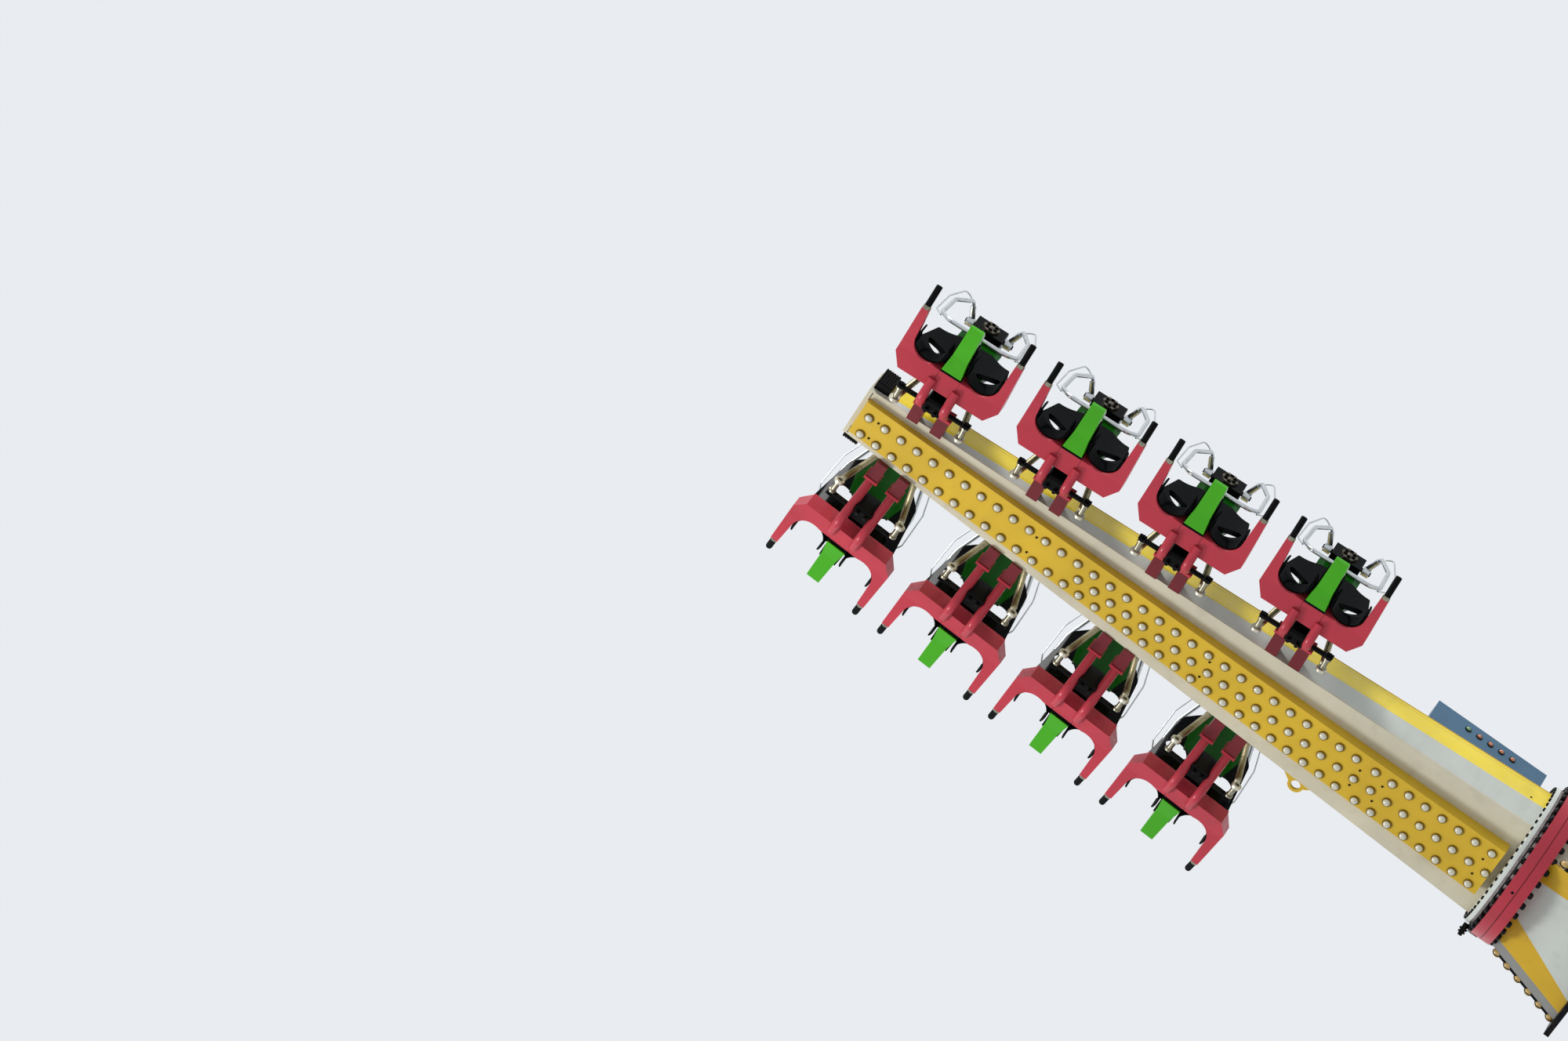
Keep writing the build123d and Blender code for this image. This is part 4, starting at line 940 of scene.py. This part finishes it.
# %% Bushes and screws of the head plates
PLATE_FACE, PLATE_MIDDLE, BUSH_CIRCLE, BUSH_RADIUS, BUSH_HOLE = 0.592, 0.471, 0.026, 0.0122, 0.0085
bush_profile = [(-0.001, BUSH_HOLE), (-0.001, BUSH_RADIUS), (0.001, BUSH_RADIUS),
                (0.002, BUSH_RADIUS - 0.001), (0.002, BUSH_HOLE + 0.001), (0.001, BUSH_HOLE),
                (-0.001, BUSH_HOLE)]
screw_profile = [(-0.001, 0), (-0.001, 0.0110), (0.0015, 0.0110), (0.003, 0.0090), (0.003, 0)]
bushes, head_screws = bmesh.new(), bmesh.new()
for number in range(6):
    turn = math.radians(30 + 60 * number)
    spot = (BUSH_CIRCLE * math.cos(turn), PLATE_FACE, PLATE_MIDDLE + BUSH_CIRCLE * math.sin(turn))
    lathe(bushes, bush_profile, spot, (0, 1, 0))
lathe(head_screws, screw_profile, (0, PLATE_FACE, PLATE_MIDDLE), (0, 1, 0))
seat_piece("head_plate_bushes", bushes, [grip_rubber])
seat_piece("head_plate_screws", head_screws, [plate_steel])

# %% [markdown]
# ## Small parts of the ring and the beam
# A proximity switch counts the turns of the arm at the lower side of the ring: a threaded barrel
# with two nuts on a bent bracket. A plug closes the grease hole of the front band. A dark disc at
# the root of each flank and a row of small dark discs near the tip stand for holes, painted as the
# shade inside them.

# %% Switch at the ring
SWITCH_TURN, BRACKET_HALF = math.radians(53.6), 0.021
BRACKET_PARTS = ((0.563, 0.661, 0.4345, 0.4375), (0.620, 0.661, 0.4375, 0.4440))
BOX_FACES = ((0, 1, 3, 2), (4, 6, 7, 5), (0, 4, 5, 1), (2, 3, 7, 6), (0, 2, 6, 4), (1, 5, 7, 3))
switch_profile = [(0.4065, 0), (0.4065, 0.0135), (0.4080, 0.0150), (0.436, 0.0150),
                  (0.436, 0.0195), (0.446, 0.0195), (0.446, 0.0150), (0.452, 0.0150),
                  (0.452, 0.0195), (0.462, 0.0195), (0.462, 0.0125), (0.474, 0.0115),
                  (0.4775, 0.0070), (0.4775, 0)]
switch_way = Vector((0, -math.sin(SWITCH_TURN), -math.cos(SWITCH_TURN)))
switch_foot = Vector((0.640, 0, 0))
along_ring = Vector((1, 0, 0)).cross(switch_way)
switch = bmesh.new()
lathe(switch, switch_profile, switch_foot, switch_way, 24)
pin(switch, 0, 0.004, 0.009, switch_foot + switch_way * 0.474, switch_way, 16, 1)
for low_x, high_x, low_r, high_r in BRACKET_PARTS:
    corners = [switch.verts.new(Vector((x, 0, 0)) + switch_way * r + along_ring * t)
               for t in (-BRACKET_HALF, BRACKET_HALF)
               for r in (low_r, high_r) for x in (low_x, high_x)]
    for face in BOX_FACES:
        switch.faces.new([corners[k] for k in face])
ring_switch = piece("ring_switch", turned_mesh("ring switch", switch, [black_enamel, white_enamel]),
                    "main_arm")
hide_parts("ring_sensor")

# %% Ring plug, and dark discs painted as the shade of holes
PLUG_SPOT, FLANK_HOLE_SPOT = Vector((0.567, 0.1094, -0.4196)), Vector((0.746, 0.3135, 0.052))
FLANK_WAY = (0.97, 0.24)
HOLE_STATION, FIRST_HOLE, HOLE_LEVEL, HOLE_STEP = 4.538, 0.094, -0.1041, 0.009
plug_shape, marks = bmesh.new(), bmesh.new()
pin(plug_shape, -0.002, 0.0008, 0.008, PLUG_SPOT, (0, *PLUG_SPOT.yz), 16)
# Dark discs for the holes at the flank roots and near the tip: painted shade inside the holes.
for side in (1, -1):
    spot = (FLANK_HOLE_SPOT.x, side * FLANK_HOLE_SPOT.y, FLANK_HOLE_SPOT.z)
    pin(marks, -0.002, 0.0012, 0.005, spot, (0, side * FLANK_WAY[0], FLANK_WAY[1]), 12)
for side in (-1, 1):
    for number in range(6):
        spot = (HOLE_STATION, side * (FIRST_HOLE + HOLE_STEP * number), HOLE_LEVEL)
        pin(marks, -0.001, 0.0006, 0.0035, spot, (0, 0, -1), 10)
piece("ring_plug", turned_mesh("ring plug", plug_shape, [blued_steel]), "main_arm")
piece("beam_marks", turned_mesh("beam marks", marks, [blued_steel]), "passenger_arm")

# %% [markdown]
# ## Ribs of the tip bumpers
# Rubber buffers at the tip take the knock when the arm is docked. Their outer face has upright
# ribs, so a row of thin slats is laid over the plain block.

# %% Slats on the bumpers
SLAT_COUNT, SLAT_DEPTH, SLAT_WIDTH, SLAT_MARGIN = 6, 0.006, 0.007, 0.008
FIRST_SLAT, LAST_SLAT = 0.008, 0.006
slat_tree, given = new_tree("row of slats", {
    "Count": "Int", "Start": "Vector", "End": "Vector", "Size": "Vector"})
slat = step(slat_tree, "GeometryNodeMeshCube", {"Size": given["Size"]})
end_tree(slat_tree, copies_on_line(slat_tree, given, slat), given["Finish"])
bumper_low, bumper_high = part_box("tip_bumpers")
middle_z = (bumper_low.z + bumper_high.z) / 2
slat_meshes = []
for side in (-1, 1):
    slat_y = side * (bumper_high.y + SLAT_DEPTH / 2)
    slat_meshes.append(grown("slats", slat_tree, grip_rubber, {
        "Count": SLAT_COUNT, "Start": (bumper_low.x + FIRST_SLAT, slat_y, middle_z),
        "End": (bumper_high.x - LAST_SLAT, slat_y, middle_z),
        "Size": (SLAT_WIDTH, SLAT_DEPTH, bumper_high.z - bumper_low.z - SLAT_MARGIN)}, False))
piece("bumper_ribs", merged("bumper ribs", slat_meshes), "passenger_arm")

# %% [markdown]
# ## Ribbed grips
# At the end of each fork arm sits a soft rubber grip for the riders' shins, with fine rings
# moulded round it. A line from collar to tip is cut in short steps, and its radius jumps between
# two values as it goes; a small circle carried along that line makes the rings.

# %% Tree for a ribbed bar
RIB_SHARE, BAR_SIDES = 0.62, 14
TIP_SLOPE, TIP_SCALE, TIP_SOFTNESS = 14.0, 0.72, 0.3
ribbed_tree, given = new_tree("ribbed bar", {
    "Start": "Vector", "End": "Vector", "Radius": "Float", "Rib depth": "Float", "Ribs": "Int",
    "Steps": "Int"})
bar_line = step(ribbed_tree, "GeometryNodeCurvePrimitiveLine",
                {"Start": given["Start"], "End": given["End"]})
bar_line = step(ribbed_tree, "GeometryNodeResampleCurve",
                {"Curve": bar_line, "Count": given["Steps"]})
along_bar = ribbed_tree.nodes.new("GeometryNodeSplineParameter").outputs["Factor"]
rib_phase = maths(ribbed_tree, "FRACT", maths(ribbed_tree, "MULTIPLY", along_bar, given["Ribs"]))
in_gap = maths(ribbed_tree, "GREATER_THAN", rib_phase, RIB_SHARE)
from_end = maths(ribbed_tree, "SUBTRACT", 1.0, along_bar)
tapered = maths(ribbed_tree, "MULTIPLY_ADD", from_end, TIP_SLOPE, TIP_SCALE)
rounded = maths(ribbed_tree, "SMOOTH_MIN", 1.0, tapered, TIP_SOFTNESS)
dip = maths(ribbed_tree, "MULTIPLY", given["Rib depth"], -1.0)
ridge = maths(ribbed_tree, "MULTIPLY_ADD", in_gap, dip, given["Radius"])
bar_section = step(ribbed_tree, "GeometryNodeCurvePrimitiveCircle",
                   {"Resolution": BAR_SIDES, "Radius": 1.0})
ribbed_bar = step(ribbed_tree, "GeometryNodeCurveToMesh",
                  {"Curve": bar_line, "Profile Curve": bar_section, "Fill Caps": True,
                   "Scale": maths(ribbed_tree, "MULTIPLY", ridge, rounded)})
end_tree(ribbed_tree, ribbed_bar, given["Finish"])

# %% Grips
GRIP_OFFSET, GRIP_FOOT, GRIP_HEIGHT = 0.271, 0.966, -0.232
GRIP_RISE, GRIP_START, GRIP_END = math.radians(29), 0.010, 0.125
GRIP_SIZES = {"Radius": 0.0172, "Rib depth": 0.0011, "Ribs": 20, "Steps": 100}
grip_way = Vector((0, math.cos(GRIP_RISE), math.sin(GRIP_RISE)))
grip_meshes = []
for row, index in EVERY_SEAT:
    for side in (-1, 1):
        foot = Vector((side * GRIP_OFFSET, GRIP_FOOT, GRIP_HEIGHT))
        grip_meshes.append(grown("grip", ribbed_tree, grip_rubber, {
            "Start": on_seat(row, index, foot + grip_way * GRIP_START),
            "End": on_seat(row, index, foot + grip_way * GRIP_END), **GRIP_SIZES}))
grips = piece("ribbed_grips", merged("ribbed grips", grip_meshes), "passenger_arm")
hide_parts("grips")
